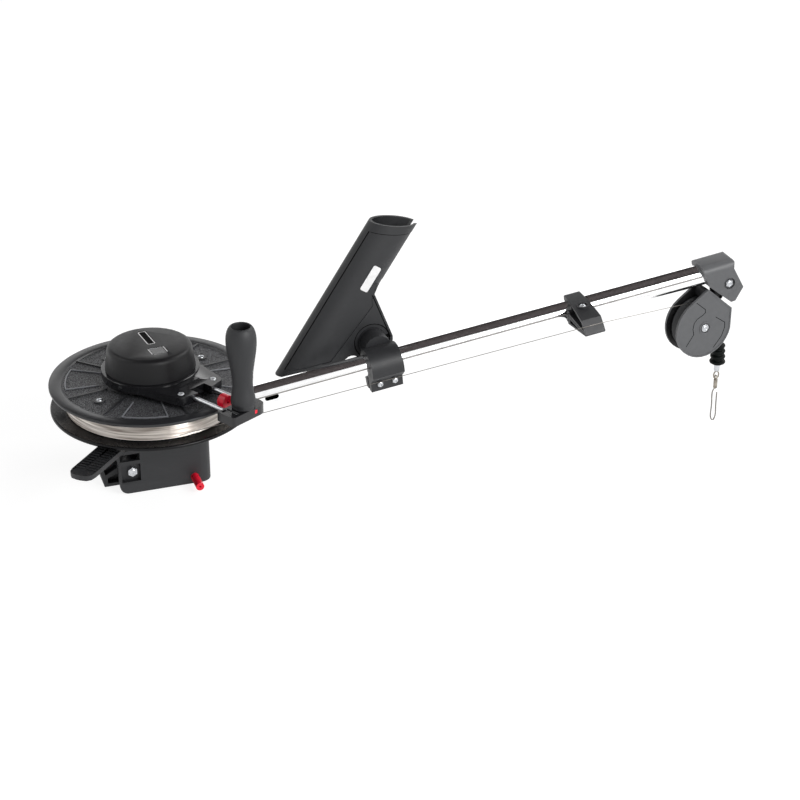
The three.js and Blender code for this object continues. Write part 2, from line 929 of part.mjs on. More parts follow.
function makeRatchet() {
  const { tipRadius, rootRadius, toothCount, gapAngle, tipShare } = ratchet;
  const step = 360 / toothCount;
  const points = [];
  for (let i = 0; i < toothCount; i += 1) {
    const angle = gapAngle + (i + 0.5) * step;
    points.push(polar(rootRadius, angle - step * (0.5 - tipShare / 2)));
    points.push(polar(tipRadius, angle - (step * tipShare) / 2));
    points.push(polar(tipRadius, angle + (step * tipShare) / 2));
    points.push(polar(rootRadius, angle + step * (0.5 - tipShare / 2)));
  }
  return shaped({
    body: raised(shapeOf(points), ratchet.bottom, -gap),
    cut: [pin(spindle.radius + gap, ratchet.bottom - overrun, overrun)],
  });
}

function flangeScrewPlaces() {
  return Array.from({ length: flangeScrew.count }, (_, i) => {
    const angle = flangeScrew.firstAngle + (i * 360) / flangeScrew.count;
    return { angle, place: polar(drumRadius - flangeScrew.edgeDistance, angle) };
  });
}

// One flange with its outer face upward from zero: a smooth rim round a recessed web with ribs
function flangeForm(hubRise) {
  const { thickness, rimWidth, recess, edge, hubRadius, ribWidth, ribSpreadAngle, ribStart } = flange;
  const rimInner = spoolRadius - rimWidth;
  const bore = bush.outerRadius + gap;
  const web = thickness - recess;
  const body = turned([
    [bore, 0],
    [spoolRadius - edge, 0],
    [spoolRadius, edge],
    [spoolRadius, thickness - edge],
    [spoolRadius - edge, thickness],
    [rimInner, thickness],
    [rimInner - recess, web],
    [hubRadius + recess, web],
    [hubRadius, thickness + hubRise],
    [bore, thickness + hubRise],
    [bore, 0],
  ], 40);
  const ribs = [];
  const holes = [];
  for (const { angle, place } of flangeScrewPlaces()) {
    for (const side of [-1, 1]) {
      const rib = block(ribStart, rimInner, -ribWidth / 2, ribWidth / 2, web - gap, thickness);
      ribs.push(rib.rotateZ(degrees(angle + side * ribSpreadAngle)));
    }
    ribs.push(pin(flangeScrew.bossRadius, web - gap, thickness, 16).translate(place[0], place[1], 0));
    holes.push(pin(flangeScrew.shankRadius + gap, -overrun, thickness, 8).translate(place[0], place[1], 0));
    const counterbore = pin(flangeScrew.headRadius + gap, web - gap, thickness + overrun, 16);
    holes.push(counterbore.translate(place[0], place[1], 0));
  }
  return { body, ribs, holes };
}

function makeUpperFlange() {
  const { body, ribs, holes } = flangeForm(flange.hubRise);
  return shaped({ body, add: ribs, cut: holes }).translate(0, 0, upperBottom);
}

function makeLowerFlange() {
  const { body, ribs } = flangeForm(0);
  return shaped({ body, add: ribs }).rotateX(Math.PI).translate(0, 0, flange.thickness);
}

function makeCore() {
  const { ringWall, hubRadius, webThickness } = core;
  const bore = bush.outerRadius + gap;
  const middle = (coreBottom + coreTop) / 2;
  const inner = drumRadius - ringWall;
  const body = turned([
    [bore, coreBottom],
    [hubRadius, coreBottom],
    [hubRadius, middle - webThickness / 2],
    [inner, middle - webThickness / 2],
    [inner, coreBottom],
    [drumRadius, coreBottom],
    [drumRadius, coreTop],
    [inner, coreTop],
    [inner, middle + webThickness / 2],
    [hubRadius, middle + webThickness / 2],
    [hubRadius, coreTop],
    [bore, coreTop],
    [bore, coreBottom],
  ], winding.stepsPerLoop);
  const holes = flangeScrewPlaces().map(({ place }) => {
    const hole = pin(flangeScrew.shankRadius + gap, coreTop - flangeScrew.length, coreTop + overrun, 8);
    return hole.translate(place[0], place[1], 0);
  });
  return shaped({ body, cut: holes });
}

function makeFlangeScrew([x, y]) {
  const seat = upperBottom + flange.thickness - flange.recess;
  const top = upperBottom + flange.thickness - gap;
  return turned([
    [0, seat - flangeScrew.length + gap],
    [flangeScrew.shankRadius, seat - flangeScrew.length + gap],
    [flangeScrew.shankRadius, seat],
    [flangeScrew.headRadius, seat],
    [flangeScrew.headRadius, top],
    [0, top],
  ], 10).translate(x, y, 0);
}

function makeBush() {
  return turned(ringProfile(spindle.radius + gap, bush.outerRadius, 0, crank.padBottom - gap), 16);
}

function makeInnerLayers() {
  const { stepsPerLoop, radius, layerGap } = winding;
  const profile = ringProfile(drumRadius + gap, radius - layerGap, coreBottom + gap, coreTop - gap);
  return turned(profile, stepsPerLoop);
}

function windingPoint(turns) {
  const { radius, lowest, pitch } = winding;
  const angle = 2 * Math.PI * turns;
  return at(radius * Math.cos(angle), radius * Math.sin(angle), lowest + pitch * turns);
}

// One unbroken tube, with a ring of points at every step, closed by a fan at each straight end
function makeWinding() {
  const { stepsPerLoop, sides } = winding;
  const steps = loopCount * stepsPerLoop;
  const centres = Array.from({ length: steps + 1 }, (_, i) => windingPoint(i / stepsPerLoop));
  const lead = (from, toward) => from.clone().add(from.clone().sub(toward).setLength(wireDiameter));
  centres.unshift(lead(centres[0], centres[1]));
  centres.push(lead(centres[steps + 1], centres[steps]));
  const positions = [];
  for (const [i, centre] of centres.entries()) {
    const previous = centres[Math.max(i - 1, 0)];
    const next = centres[Math.min(i + 1, centres.length - 1)];
    const along = next.clone().sub(previous).normalize();
    const outward = at(along.y, -along.x, 0).normalize();
    const upward = outward.clone().cross(along).normalize();
    for (let side = 0; side < sides; side += 1) {
      const angle = (2 * Math.PI * side) / sides;
      const place = centre.clone();
      place.addScaledVector(outward, wireRadius * Math.cos(angle));
      place.addScaledVector(upward, wireRadius * Math.sin(angle));
      positions.push(place.x, place.y, place.z);
    }
  }
  const faces = [];
  for (let i = 0; i < centres.length - 1; i += 1) {
    for (let side = 0; side < sides; side += 1) {
      const a = i * sides + side;
      const b = i * sides + ((side + 1) % sides);
      faces.push(a, a + sides, b, b, a + sides, b + sides);
    }
  }
  const last = (centres.length - 1) * sides;
  for (let side = 1; side < sides - 1; side += 1) {
    faces.push(0, side, side + 1);
    faces.push(last, last + side + 1, last + side);
  }
  const form = new THREE.BufferGeometry();
  form.setAttribute("position", new THREE.Float32BufferAttribute(positions, 3));
  form.setIndex(faces);
  return form;
}

function leastWindingGap() {
  const { stepsPerLoop } = winding;
  let least = Infinity;
  for (let i = 0; i + stepsPerLoop <= loopCount * stepsPerLoop; i += 1) {
    const here = windingPoint(i / stepsPerLoop);
    const above = windingPoint(i / stepsPerLoop + 1);
    least = Math.min(least, here.distanceTo(above) - wireDiameter);
  }
  return least;
}

// Crank hub and arm

function makeClutchPad() {
  const { padRadius, padBottom, hubBottom } = crank;
  return turned(ringProfile(spindle.radius + gap, padRadius, padBottom, hubBottom - gap), 28);
}

function makeCrankHub() {
  const { hubRadius, hubBottom, hubTop, armLength, armHalfWidth, armBottom, armTop, armCorner } = crank;
  const lobe = armScrew.inset;
  const screwPlace = armLength - armScrew.inset;
  const sides = [-1, 1].map((side) => {
    const lobeArc = arcPoints(screwPlace, armHalfWidth - armCorner, lobe - armCorner / 2, 0, 90, 4);
    const half = [[armLength, crank.forkHalfWidth], ...lobeArc, [0, crank.armShoulder]];
    return half.map(([x, y]) => [x, side * y]);
  });
  const arm = raised(shapeOf([...sides[1], ...sides[0].reverse()]), armBottom, armTop);
  const { forkDepth, forkHalfWidth } = crank;
  const fork = block(armLength - forkDepth, armLength + overrun, -forkHalfWidth, forkHalfWidth,
    armBottom - overrun, armTop + overrun);
  const barStart = hubRadius + crank.barWidth;
  const bar = block(barStart, barStart + crank.barWidth, -armHalfWidth / 2, armHalfWidth / 2, armTop - gap,
    armTop + crank.barHeight);
  const cuts = [
    fork,
    pin(crank.padRadius + overrun, armBottom - overrun, hubBottom, 40),
    pin(spindle.radius + gap, armBottom - overrun, hubTop + overrun),
  ];
  for (const side of [-1, 1]) {
    cuts.push(pinX(rod.radius + gap, rod.innerEnd - rod.travel - gap, armLength + overrun, side * rod.spread,
      rod.height, 16));
    const place = [screwPlace, side * armScrew.spread];
    cuts.push(pin(armScrew.shankRadius + gap, armTop - armScrew.length, armTop + overrun, 8)
      .translate(...place, 0));
    cuts.push(pin(armScrew.headRadius + gap, armTop - armScrew.headHeight, armTop + overrun, 12)
      .translate(...place, 0));
  }
  return shaped({
    body: turned([
      [0, hubBottom],
      [hubRadius - gap, hubBottom],
      [hubRadius, hubBottom + gap],
      [hubRadius, hubTop - crank.hubBevel],
      [hubRadius - crank.hubBevel, hubTop],
      [0, hubTop],
    ], 36),
    add: [arm, bar],
    cut: cuts,
  });
}

function makeArmScrew(side) {
  const seat = crank.armTop - armScrew.headHeight + gap;
  return turned([
    [0, crank.armTop - armScrew.length + gap],
    [armScrew.shankRadius, crank.armTop - armScrew.length + gap],
    [armScrew.shankRadius, seat],
    [armScrew.headRadius, seat],
    [armScrew.headRadius, crank.armTop],
    [0, crank.armTop],
  ], 10).translate(crank.armLength - armScrew.inset, side * armScrew.spread, 0);
}

function makeCrankNut() {
  const bottom = crank.hubTop + gap;
  return shaped({
    body: hex(crank.nutFlats, bottom, bottom + crank.nutHeight),
    cut: [pin(spindle.radius + gap, bottom - overrun, bottom + crank.nutHeight + overrun)],
  });
}

function makeRod(side) {
  return pinX(rod.radius, rod.innerEnd, rod.outerEnd, side * rod.spread, rod.height, 16);
}

function makeHandlePlate() {
  const { start, end, nearSide, farSide, bottom, top, corner, nearCorner, rim, hollowDepth } = handlePlate;
  const outline = new THREE.Shape();
  outline.moveTo(start, nearSide);
  outline.lineTo(end - nearCorner, nearSide);
  outline.quadraticCurveTo(end, nearSide, end, nearSide + nearCorner);
  outline.lineTo(end, farSide - corner);
  outline.quadraticCurveTo(end, farSide, end - corner, farSide);
  outline.lineTo(start + corner / 2, farSide);
  outline.quadraticCurveTo(start, farSide, start, farSide - corner / 2);
  const slot = block(start - overrun, end + overrun, button.stemNear - gap, button.stemFar + gap,
    button.stemBottom - gap, button.stemTop + gap);
  const bores = [-1, 1].map((side) => pinX(rod.radius + gap, start - overrun, rod.outerEnd + gap,
    side * rod.spread, rod.height, 16));
  const boltBore = pin(grip.boreRadius, bottom - overrun, top + overrun).translate(grip.place, 0, 0);
  const hollowShape = rounded(start + rim, end - rim, nearSide + rim, -grip.flareRadius, rim);
  const hollow = raised(hollowShape, top - hollowDepth, top + overrun);
  return shaped({ body: raised(outline, bottom, top), cut: [slot, ...bores, boltBore, hollow] });
}

function makeButton() {
  const { start, end, radius, height, waistRadius, eyeRadius, eyeDepth } = button;
  const { stemNear, stemFar, stemBottom, stemTop } = button;
  const stem = block(end - radius / 2, handlePlate.end, stemNear, stemFar, stemBottom, stemTop);
  const barrel = turned([
    [0, start],
    [waistRadius, start],
    [radius, start + radius - waistRadius],
    [radius, end - (radius - waistRadius) / 2],
    [radius - (radius - waistRadius) / 2, end],
    [0, end],
  ], 20);
  return shaped({
    body: barrel.rotateY(Math.PI / 2).translate(0, 0, height),
    add: [stem],
    cut: [pinX(eyeRadius, end - eyeDepth, end + overrun, 0, height)],
  });
}

const gripShares = [
  [0, "baseRadius", 1],
  [0.045, "baseRadius", 1],
  [0.06, "flareRadius", 1],
  [0.14, "flareRadius", 1],
  [0.3, "waistRadius", 1],
  [0.48, "waistRadius", 1.13],
  [0.64, "bulgeRadius", 0.88],
  [0.8, "bulgeRadius", 1],
  [0.92, "topRadius", 1.14],
  [1, "topRadius", 0.94],
];

function makeGrip() {
  const bottom = handlePlate.top + gap;
  const top = bottom + grip.height;
  const outer = gripShares.map(
    ([height, radius, share]) => [grip[radius] * share, bottom + grip.height * height],
  );
  return turned([
    [grip.boreRadius, bottom],
    ...outer,
    [grip.hollowRadius, top],
    [grip.hollowRadius, top - grip.hollowDepth],
    [grip.boreRadius, top - grip.hollowDepth],
    [grip.boreRadius, bottom],
  ], 20).translate(grip.place, 0, 0);
}

function makeGripBolt() {
  const seat = handlePlate.top + gap + grip.height - grip.hollowDepth + gap;
  const end = handlePlate.bottom;
  return turned([
    [0, end],
    [gripBolt.radius, end],
    [gripBolt.radius, seat],
    [gripBolt.headRadius, seat],
    [gripBolt.headRadius, seat + gripBolt.headHeight],
    [0, seat + gripBolt.headHeight],
  ], 16).translate(grip.place, 0, 0);
}

// Dome cap and line counter

const stackHalf = counter.wheelPitch + counter.wheelWidth / 2;

function makeDome() {
  const { bottom, top, baseRadius, shoulderRadius, flatRadius, shoulder, wall } = dome;
  const { bossRadius, bossBottom } = dome;
  const shell = turned([
    [0, top - wall],
    [flatRadius - wall / 2, top - wall],
    [shoulderRadius - wall, top - shoulder - wall / 2],
    [baseRadius - wall, bottom],
    [baseRadius, bottom],
    ...dome.shoulderShares.map(([across, up]) => [
      flatRadius + (shoulderRadius - flatRadius) * across,
      top - shoulder + shoulder * up,
    ]),
    [0, top],
  ], 32);
  const lugs = [-1, 1].map((side) => {
    const near = counter.x + side * (stackHalf + gap);
    const far = near + side * counter.lug;
    return block(Math.min(near, far), Math.max(near, far), counter.y - counter.lugWidth / 2,
      counter.y + counter.lugWidth / 2, counter.axisHeight - counter.lugDrop, top - wall / 2);
  });
  const shaftReach = stackHalf + 2 * counter.lug;
  const windowHole = block(counter.x - counter.windowWidth / 2, counter.x + counter.windowWidth / 2,
    counter.y - counter.windowLength / 2, counter.y + counter.windowLength / 2,
    top - wall - gap, top + overrun);
  const badgeShape = rounded(counter.x - badge.width / 2, counter.x + badge.width / 2,
    badge.y - badge.length / 2, badge.y + badge.length / 2, badge.corner);
  return shaped({
    body: shell,
    add: [pin(bossRadius, bossBottom, top - wall / 2), ...lugs],
    cut: [
      windowHole,
      raised(badgeShape, top - badge.depth, top + overrun),
      pin(spindle.radius + gap, bossBottom - overrun, spindle.top + gap),
      pinX(counter.shaftRadius + gap, counter.x - shaftReach, counter.x + shaftReach,
        counter.y, counter.axisHeight, 12),
    ],
  });
}

function makePane() {
  const middle = dome.top - dome.wall / 2;
  return block(counter.x - counter.windowWidth / 2 + gap, counter.x + counter.windowWidth / 2 - gap,
    counter.y - counter.windowLength / 2 + gap, counter.y + counter.windowLength / 2 - gap,
    middle - counter.paneHeight / 2, middle + counter.paneHeight / 2);
}

function makeCounterWheel(place) {
  const start = counter.x + place * counter.wheelPitch - counter.wheelWidth / 2;
  const end = start + counter.wheelWidth;
  const boreRadius = counter.shaftRadius + gap;
  const bore = pinX(boreRadius, start - overrun, end + overrun, counter.y, counter.axisHeight, 8);
  const wheel = pinX(counter.wheelRadius, start, end, counter.y, counter.axisHeight, 14);
  return shaped({ body: wheel, cut: [bore] });
}

function makeCounterShaft() {
  const half = stackHalf + counter.lug;
  return pinX(counter.shaftRadius, counter.x - half, counter.x + half, counter.y, counter.axisHeight, 12);
}

// Rod-holder clamp

function makeClamp() {
  const { start, length, topHeight, nearWidth, nearBottom, throatWidth, throatHeight } = clamp;
  const { flangeWidth, flangeBottom, farWidth, split, screwSpacing, screwHeight, screwRadius } = clamp;
  const end = start + length;
  const profile = shapeOf([
    ...arcPoints(farWidth - topHeight, 0, topHeight, 0, 90, 5),
    ...arcPoints(topHeight - nearWidth, 0, topHeight, 90, 180, 6),
    [-nearWidth + gap, nearBottom],
    [-throatWidth, throatHeight],
    [-flangeWidth, flangeBottom],
    [flangeWidth, flangeBottom],
    [throatWidth, throatHeight],
    [farWidth, nearBottom],
  ]);
  const cuts = [
    pinX(boomBore, start - overrun, end + overrun, 0, 0, 24),
    block(start - overrun, end + overrun, -split / 2, split / 2, flangeBottom - overrun, -boomRadius / 2),
    pinY(post.boltRadius + gap, boomBore, post.end + overrun, post.place, post.height),
  ];
  for (const side of [-1, 1]) {
    const x = start + length / 2 + (side * screwSpacing) / 2;
    cuts.push(pinY(screwRadius + gap, -nearWidth - overrun, nearWidth + overrun, x, screwHeight, 16));
    cuts.push(pinY(clamp.screwFlats, -nearWidth - overrun, -throatWidth + gap, x, screwHeight, 16));
  }
  return shaped({
    body: alongX(profile, start, end),
    add: [pinY(post.radius, post.start, post.end, post.place, post.height, 32)],
    cut: cuts,
  });
}

function makeClampScrew(side) {
  const x = clamp.start + clamp.length / 2 + (side * clamp.screwSpacing) / 2;
  const face = -clamp.throatWidth;
  const end = clamp.throatWidth + clamp.screwEnd;
  const shank = pinY(clamp.screwRadius, face - gap, end, x, clamp.screwHeight, 16);
  const hexHead = hex(clamp.screwFlats, face - clamp.screwHeadHeight, face).rotateX(-Math.PI / 2);
  return shaped({ body: shank, add: [hexHead.translate(x, 0, clamp.screwHeight)] });
}

// Rod holder: a slotted socket on a boss that turns on the clamp's post

function ovalAlongX(halfWidth, halfDepth, start, end, sides) {
  const oval = pin(1, 0, end - start, sides).scale(halfWidth, halfDepth, 1);
  const turn = new THREE.Matrix4().makeBasis(at(0, 1, 0), at(0, 0, 1), at(1, 0, 0));
  return oval.applyMatrix4(turn).translate(start, holder.centre, holder.axisOffset);
}

function gussetOutline() {
  const h = holder;
  const side = h.axisOffset - h.halfDepth;
  return shapeOf([
    [h.gussetTop, h.axisOffset],
    [h.gussetTop, side + h.wall],
    [h.gussetKneeX, h.gussetKneeZ],
    ...arcPoints(0, 0, h.bossRadius, h.bossStartAngle, h.bossEndAngle, 5),
    ...arcPoints(h.archX, h.archZ, h.archRadius, h.archStartAngle, h.archEndAngle, 5),
    [h.heelX, side + h.wall],
    [h.heelX, h.axisOffset],
  ]);
}

// What is cut away above the leaning mouth, lowered by depth
function aboveMouth(depth) {
  const { mouth, mouthLeanAngle, axisOffset, centre } = holder;
  const cutter = block(-depth, 2 * mouth, centre - mouth, centre + mouth, -mouth, mouth);
  return cutter.rotateY(degrees(mouthLeanAngle)).translate(mouth, 0, axisOffset);
}

// What is cut away below the boom's side of the holder, raised by height
function belowHolder(height) {
  const { mouth, bossNear, tiltAngle, cutHeight } = holder;
  const drop = cutHeight - post.height + height;
  return block(-2 * mouth, 2 * mouth, bossNear - mouth, bossNear + mouth, drop - mouth, drop)
    .rotateY(degrees(tiltAngle));
}

// The sunk panel follows the near side of the socket and the gusset, inside a rim
function sunkPanel() {
  const h = holder;
  const side = h.axisOffset - h.halfDepth;
  const outline = shapeOf([
    [h.mouth + h.halfDepth, h.axisOffset + h.halfDepth - h.panelSide],
    [h.mouth + h.halfDepth, side - h.wall],
    [h.gussetTop + h.panelRim, side - h.wall],
    [h.gussetKneeX - h.panelRim, h.gussetKneeZ - gap],
    [h.gussetKneeX - 2 * h.panelRim, h.axisOffset - h.bossRadius],
    [h.heelX, side + h.wall + h.panelRim],
    [h.lowest, side + h.wall + h.panelRim],
    [h.lowest, h.axisOffset + h.halfDepth - h.panelSide],
  ]);
  const core = shaped({
    body: ovalAlongX(h.halfWidth - h.panelDepth, h.halfDepth - h.panelDepth, h.lowest, 2 * h.mouth, 40),
    add: [acrossY(gussetOutline(), h.bossNear + h.panelDepth, h.centre)],
  });
  return shaped({
    body: acrossY(outline, h.bossNear - overrun, h.centre),
    cut: [
      core,
      aboveMouth(h.panelTop),
      belowHolder(h.panelFoot),
      pinY(h.bossRadius, h.bossNear - h.wall - overrun, h.centre, 0, 0, 28),
    ],
  });
}

function makeHolder() {
  const h = holder;
  const ring = turned(ringProfile(h.ringInner, h.ringOuter, 0, h.ringDepth + overrun), 28);
  ring.rotateX(-Math.PI / 2).translate(0, h.bossNear - overrun, 0);
  const slotSide = h.axisOffset - h.halfDepth;
  const slotStart = h.mouth + h.slotDepth / 2;
  return shaped({
    body: ovalAlongX(h.halfWidth, h.halfDepth, h.lowest, 2 * h.mouth, 40),
    add: [acrossY(gussetOutline(), h.bossNear, h.bossNear + h.bossDepth)],
    cut: [
      sunkPanel(),
      ovalAlongX(h.halfWidth - h.wall, h.halfDepth - h.wall, h.boreFloor, 3 * h.mouth, 32),
      block(slotStart - h.slotDepth, 2 * h.mouth, h.centre - h.slotWidth / 2, h.centre + h.slotWidth / 2,
        slotSide - overrun, h.axisOffset),
      aboveMouth(0),
      belowHolder(0),
      pinY(post.boltRadius + gap, h.bossNear - overrun, h.centre, 0, 0),
      ring,
    ],
  });
}

function makeHolderBolt() {
  const face = holder.bossNear + holder.bossDepth + gap;
  const shank = pinY(post.boltRadius, boomBore + gap, face, 0, 0);
  const knob = pinY(post.radius - post.boltRadius, face - gap, face + 2 * post.boltRadius, 0, 0, 20);
  return shaped({ body: shank, add: [knob] });
}

// Line guide

function makeGuideArm() {
  const g = guide;
  const seat = arcPoints(0, 0, boomBore, g.splitAngle, g.seatStartAngle, 10);
  const splitX = -boomBore;
  const shape = shapeOf([
    ...seat,
    [g.hook, seat[seat.length - 1][1] + gap],
    [g.hook, g.topHeight - g.wall / 2],
    [g.hook - g.wall / 2, g.topHeight],
    [g.topFront, g.topHeight],
    [g.shoulderY, g.shoulderZ],
    [g.browY, g.browZ],
    [g.noseY, g.noseZ],
    [g.noseY + g.wall / 2, g.noseZ - gap],
  ]);
  const hollow = new THREE.Path([
    new THREE.Vector2(splitX - g.wall, g.topHeight - g.wall - gap),
    new THREE.Vector2(splitX - g.wall, g.wall + gap),
    new THREE.Vector2(g.noseY + 2 * g.wall, g.noseZ + g.wall),
    new THREE.Vector2(g.browY + g.wall, g.browZ),
    new THREE.Vector2(g.shoulderY + g.wall / 2, g.shoulderZ - g.wall),
    new THREE.Vector2(g.topFront - g.wall, g.topHeight - g.wall - gap),
  ]);
  shape.holes.push(hollow);
  const taper = shapeOf([
    [g.start - overrun, g.hook + overrun],
    [g.start + g.taper, g.hook + overrun],
    [g.start, g.shoulderY],
    [g.start - overrun, g.shoulderY],
  ]);
  const sleeve = pin(g.counterboreRadius + g.wall / 2, 0, g.topHeight - gap, 20)
    .translate(g.boltX, g.boltY, 0);
  const bore = pin(g.boltRadius + gap, -2 * g.topHeight, g.topHeight, 16).translate(g.boltX, g.boltY, 0);
  const headSeat = g.topHeight - g.counterboreDepth - g.wall / 2;
  const counterbore = pin(g.counterboreRadius, headSeat, g.topHeight + overrun, 20);
  return shaped({
    body: alongX(shape, g.start, g.end),
    add: [sleeve],
    cut: [
      raised(taper, g.taperDepth, g.topHeight + overrun),
      bore,
      counterbore.translate(g.boltX, g.boltY, 0),
    ],
  });
}

function makeGuideJaw() {
  const g = guide;
  const seat = arcPoints(0, 0, boomBore, g.jawEndAngle, g.jawStartAngle, 5);
  const shape = shapeOf([
    ...seat,
    [g.lipY, g.noseZ - g.split - gap],
    [g.lipY, g.lipZ],
    [g.jawY, g.jawZ],
  ]);
  const bore = pin(g.boltRadius + gap, 2 * g.jawZ, 0, 16).translate(g.boltX, g.boltY, 0);
  const pocket = shapeOf([
    [-boomBore - g.wall, -g.wall],
    [-boomBore - g.wall, g.jawZ + g.wall + gap],
    [2 * g.boltY + g.wall, g.lipZ],
  ]);
  const left = alongX(pocket, g.start - overrun, g.start + 2 * g.wall);
  const right = alongX(pocket, g.end - g.wall, g.end + overrun);
  return shaped({ body: alongX(shape, g.start, g.end), cut: [left, right, bore] });
}

function makeGuideBolt() {
  const g = guide;
  const seat = g.topHeight - g.counterboreDepth - g.wall / 2 + gap;
  return turned([
    [0, g.jawZ + g.wall],
    [g.boltRadius, g.jawZ + g.wall],
    [g.boltRadius, seat],
    [g.headRadius, seat],
    [g.headRadius, seat + g.counterboreDepth],
    [0, seat + g.counterboreDepth],
  ], 14).translate(g.boltX, g.boltY, 0);
}

// End cap

function makeEndCap() {
  const c = cap;
  const side = shapeOf([
    [c.topStart, c.topHeight],
    [c.throatX, c.throatZ],
    [c.mitreX, c.mitreZ],
    [c.heelX, c.heelZ],
    [c.rightX, c.rightZ],
    ...arcPoints(c.topEnd - c.crown, c.topHeight - c.crown, c.crown, c.crownStartAngle, 90, 4),
  ]);
  const frontBottom = c.mitreZ - c.topCorner - overrun;
  const front = rounded(-c.halfWidth, c.halfWidth, frontBottom, c.topHeight, c.topCorner);
  const postX = head.x + head.pivotX * Math.cos(degrees(head.yawAngle));
  return shaped({
    body: acrossY(side, -c.halfWidth, c.halfWidth),
    keep: [alongX(front, c.topStart - overrun, c.rightX + overrun)],
    cut: [
      pinX(boomBore, c.topStart - overrun, boomLength, 0, 0, 24),
      pin(head.postRadius + gap, c.mitreZ - overrun, -boomRadius / 2).translate(postX, 0, 0),
      pinY(c.boltRadius + gap, -c.halfWidth - overrun, c.halfWidth + overrun, c.boltX, c.boltZ, 16),
      pinY(c.counterbore, -c.halfWidth - overrun, -c.halfWidth + c.counterboreDepth, c.boltX, c.boltZ),
      pinY(c.counterbore, c.halfWidth - c.counterboreDepth, c.halfWidth + overrun, c.boltX, c.boltZ),
    ],
  });
}

function makeCapBolt() {
  const c = cap;
  const face = c.halfWidth - c.counterboreDepth + gap;
  const shank = pinY(c.boltRadius, -face - gap, face + gap, c.boltX, c.boltZ, 16);
  const ends = [-1, 1].map((side) => {
    const bossHead = hex(c.headRadius * Math.sqrt(3), 0, c.headHeight).rotateX(-Math.PI / 2);
    return bossHead.translate(c.boltX, side < 0 ? -face - c.headHeight : face, c.boltZ);
  });
  return shaped({ body: shank, add: ends });
}

// Pulley head

// The outline runs from the neck's corner over the peak and straight onto the round
function headOutline() {
  const h = head;
  const peakReach = Math.hypot(h.peakX - h.roundX, h.peakZ - h.roundZ);
  const peakAngle = Math.atan2(h.peakZ - h.roundZ, h.peakX - h.roundX);
  const startAngle = THREE.MathUtils.radToDeg(peakAngle + Math.acos(h.roundRadius / peakReach));
  const round = arcPoints(h.roundX, h.roundZ, h.roundRadius, startAngle, h.roundEndAngle, 22);
  return shapeOf([[h.cornerX, h.cornerZ], [h.peakX, h.peakZ], ...round]);
}

function makeCheek(side) {
  const h = head;
  const inner = h.halfWidth - h.cheekWall;
  const [near, far] = side < 0 ? [-h.halfWidth, -inner] : [inner, h.halfWidth];
  const outline = acrossY(headOutline(), near, far);
  const inset = (h.roundRadius - h.border) / h.roundRadius;
  const panel = acrossY(headOutline(), 0, h.panelDepth + overrun).scale(inset, 1, inset);
  panel.translate(0, side < 0 ? near - overrun : far - h.panelDepth, 0);
  const hub = pinY(h.hubRadius + h.border, near, far, 0, 0);
  const boreSink = side < 0
    ? pinY(h.hubRadius, near - overrun, near + h.hubDepth, 0, 0)
    : pinY(h.hubRadius, far - h.hubDepth, far + overrun, 0, 0);
  const dished = geometryOf(solidOf(outline).subtract(solidOf(panel)));
  return shaped({
    body: dished,
    add: [hub],
    cut: [boreSink, pinY(pulley.axleRadius + gap, near - overrun, far + overrun, 0, 0)],
  });
}

function makeNeck() {
  const h = head;
  const inner = h.halfWidth - h.cheekWall - h.sideGap;
  const shape = shapeOf([
    [h.cornerX - h.border, h.cornerZ - h.border / 2],
    [h.cornerX, h.cornerZ],
    [h.peakX, h.peakZ],
    [h.peakX - 2 * h.border, h.peakZ - h.border / 2],
    ...arcPoints(0, 0, h.neckRadius, h.neckStartAngle, h.neckEndAngle, 12),
  ]);
  const rise = (h.peakZ - h.cornerZ) / (h.peakX - h.cornerX);
  const bevelHeight = h.peakZ + rise * (h.pivotX - h.peakX);
  const capRise = (cap.throatZ - cap.mitreZ) / (cap.throatX - cap.mitreX);
  const postX = h.x + h.pivotX * Math.cos(degrees(h.yawAngle));
  const capHeight = cap.throatZ + capRise * (postX - cap.throatX) - h.z;
  const collarTop = capHeight + capRise * h.collarRadius - gap;
  const postTop = -h.z - boomRadius - overrun / 2;
  return shaped({
    body: acrossY(shape, -inner, inner),
    add: [
      pin(h.postRadius, bevelHeight - h.border, postTop).translate(h.pivotX, 0, 0),
      pin(h.collarRadius, bevelHeight - h.border, collarTop).translate(h.pivotX, 0, 0),
    ],
    cut: [pinY(h.neckRadius, -inner - overrun, inner + overrun, 0, 0, 48)],
  });
}

function makePulleyWheel() {
  const p = pulley;
  const hubHalf = head.halfWidth - head.cheekWall - head.sideGap;
  const groove = p.wireCentre - wireRadius - gap;
  const half = [
    [p.axleRadius + gap, hubHalf],
    [p.hubRadius, hubHalf],
    [p.hubRadius, p.webHalfWidth],
    [p.rimInner, p.webHalfWidth],
    [p.rimInner, p.rimHalfWidth - p.grooveBottom],
    [p.rimRadius, p.rimHalfWidth],
    [p.rimRadius, p.grooveHalfWidth],
    [groove, p.grooveBottom],
  ];
  const lower = half.map(([r, z]) => [r, -z]);
  const upper = half.slice().reverse();
  const profile = [...lower, ...upper, lower[0]];
  return turned(profile, 24).rotateX(-Math.PI / 2);
}

function makeAxle() {
  const p = pulley;
  const face = head.halfWidth - head.hubDepth + gap;
  const shank = pinY(p.axleRadius, -face - gap, face + gap, 0, 0);
  const ends = [pinY(p.axleHeadRadius, -face - p.axleHeadHeight, -face, 0, 0)];
  ends.push(pinY(p.axleHeadRadius, face, face + p.axleHeadHeight, 0, 0));
  return shaped({ body: shank, add: ends });
}

// Wire from the spool, through the guide, to the pulley and down to the stopper

function boomToFrame(point) {
  return point.clone().applyAxisAngle(at(0, 1, 0), -boomRise).add(at(0, boomOffset, boomHeight));
}

function boomToHead(point) {
  return point.clone().sub(at(head.x, head.y, head.z)).applyAxisAngle(at(0, 0, 1), -degrees(head.yawAngle));
}

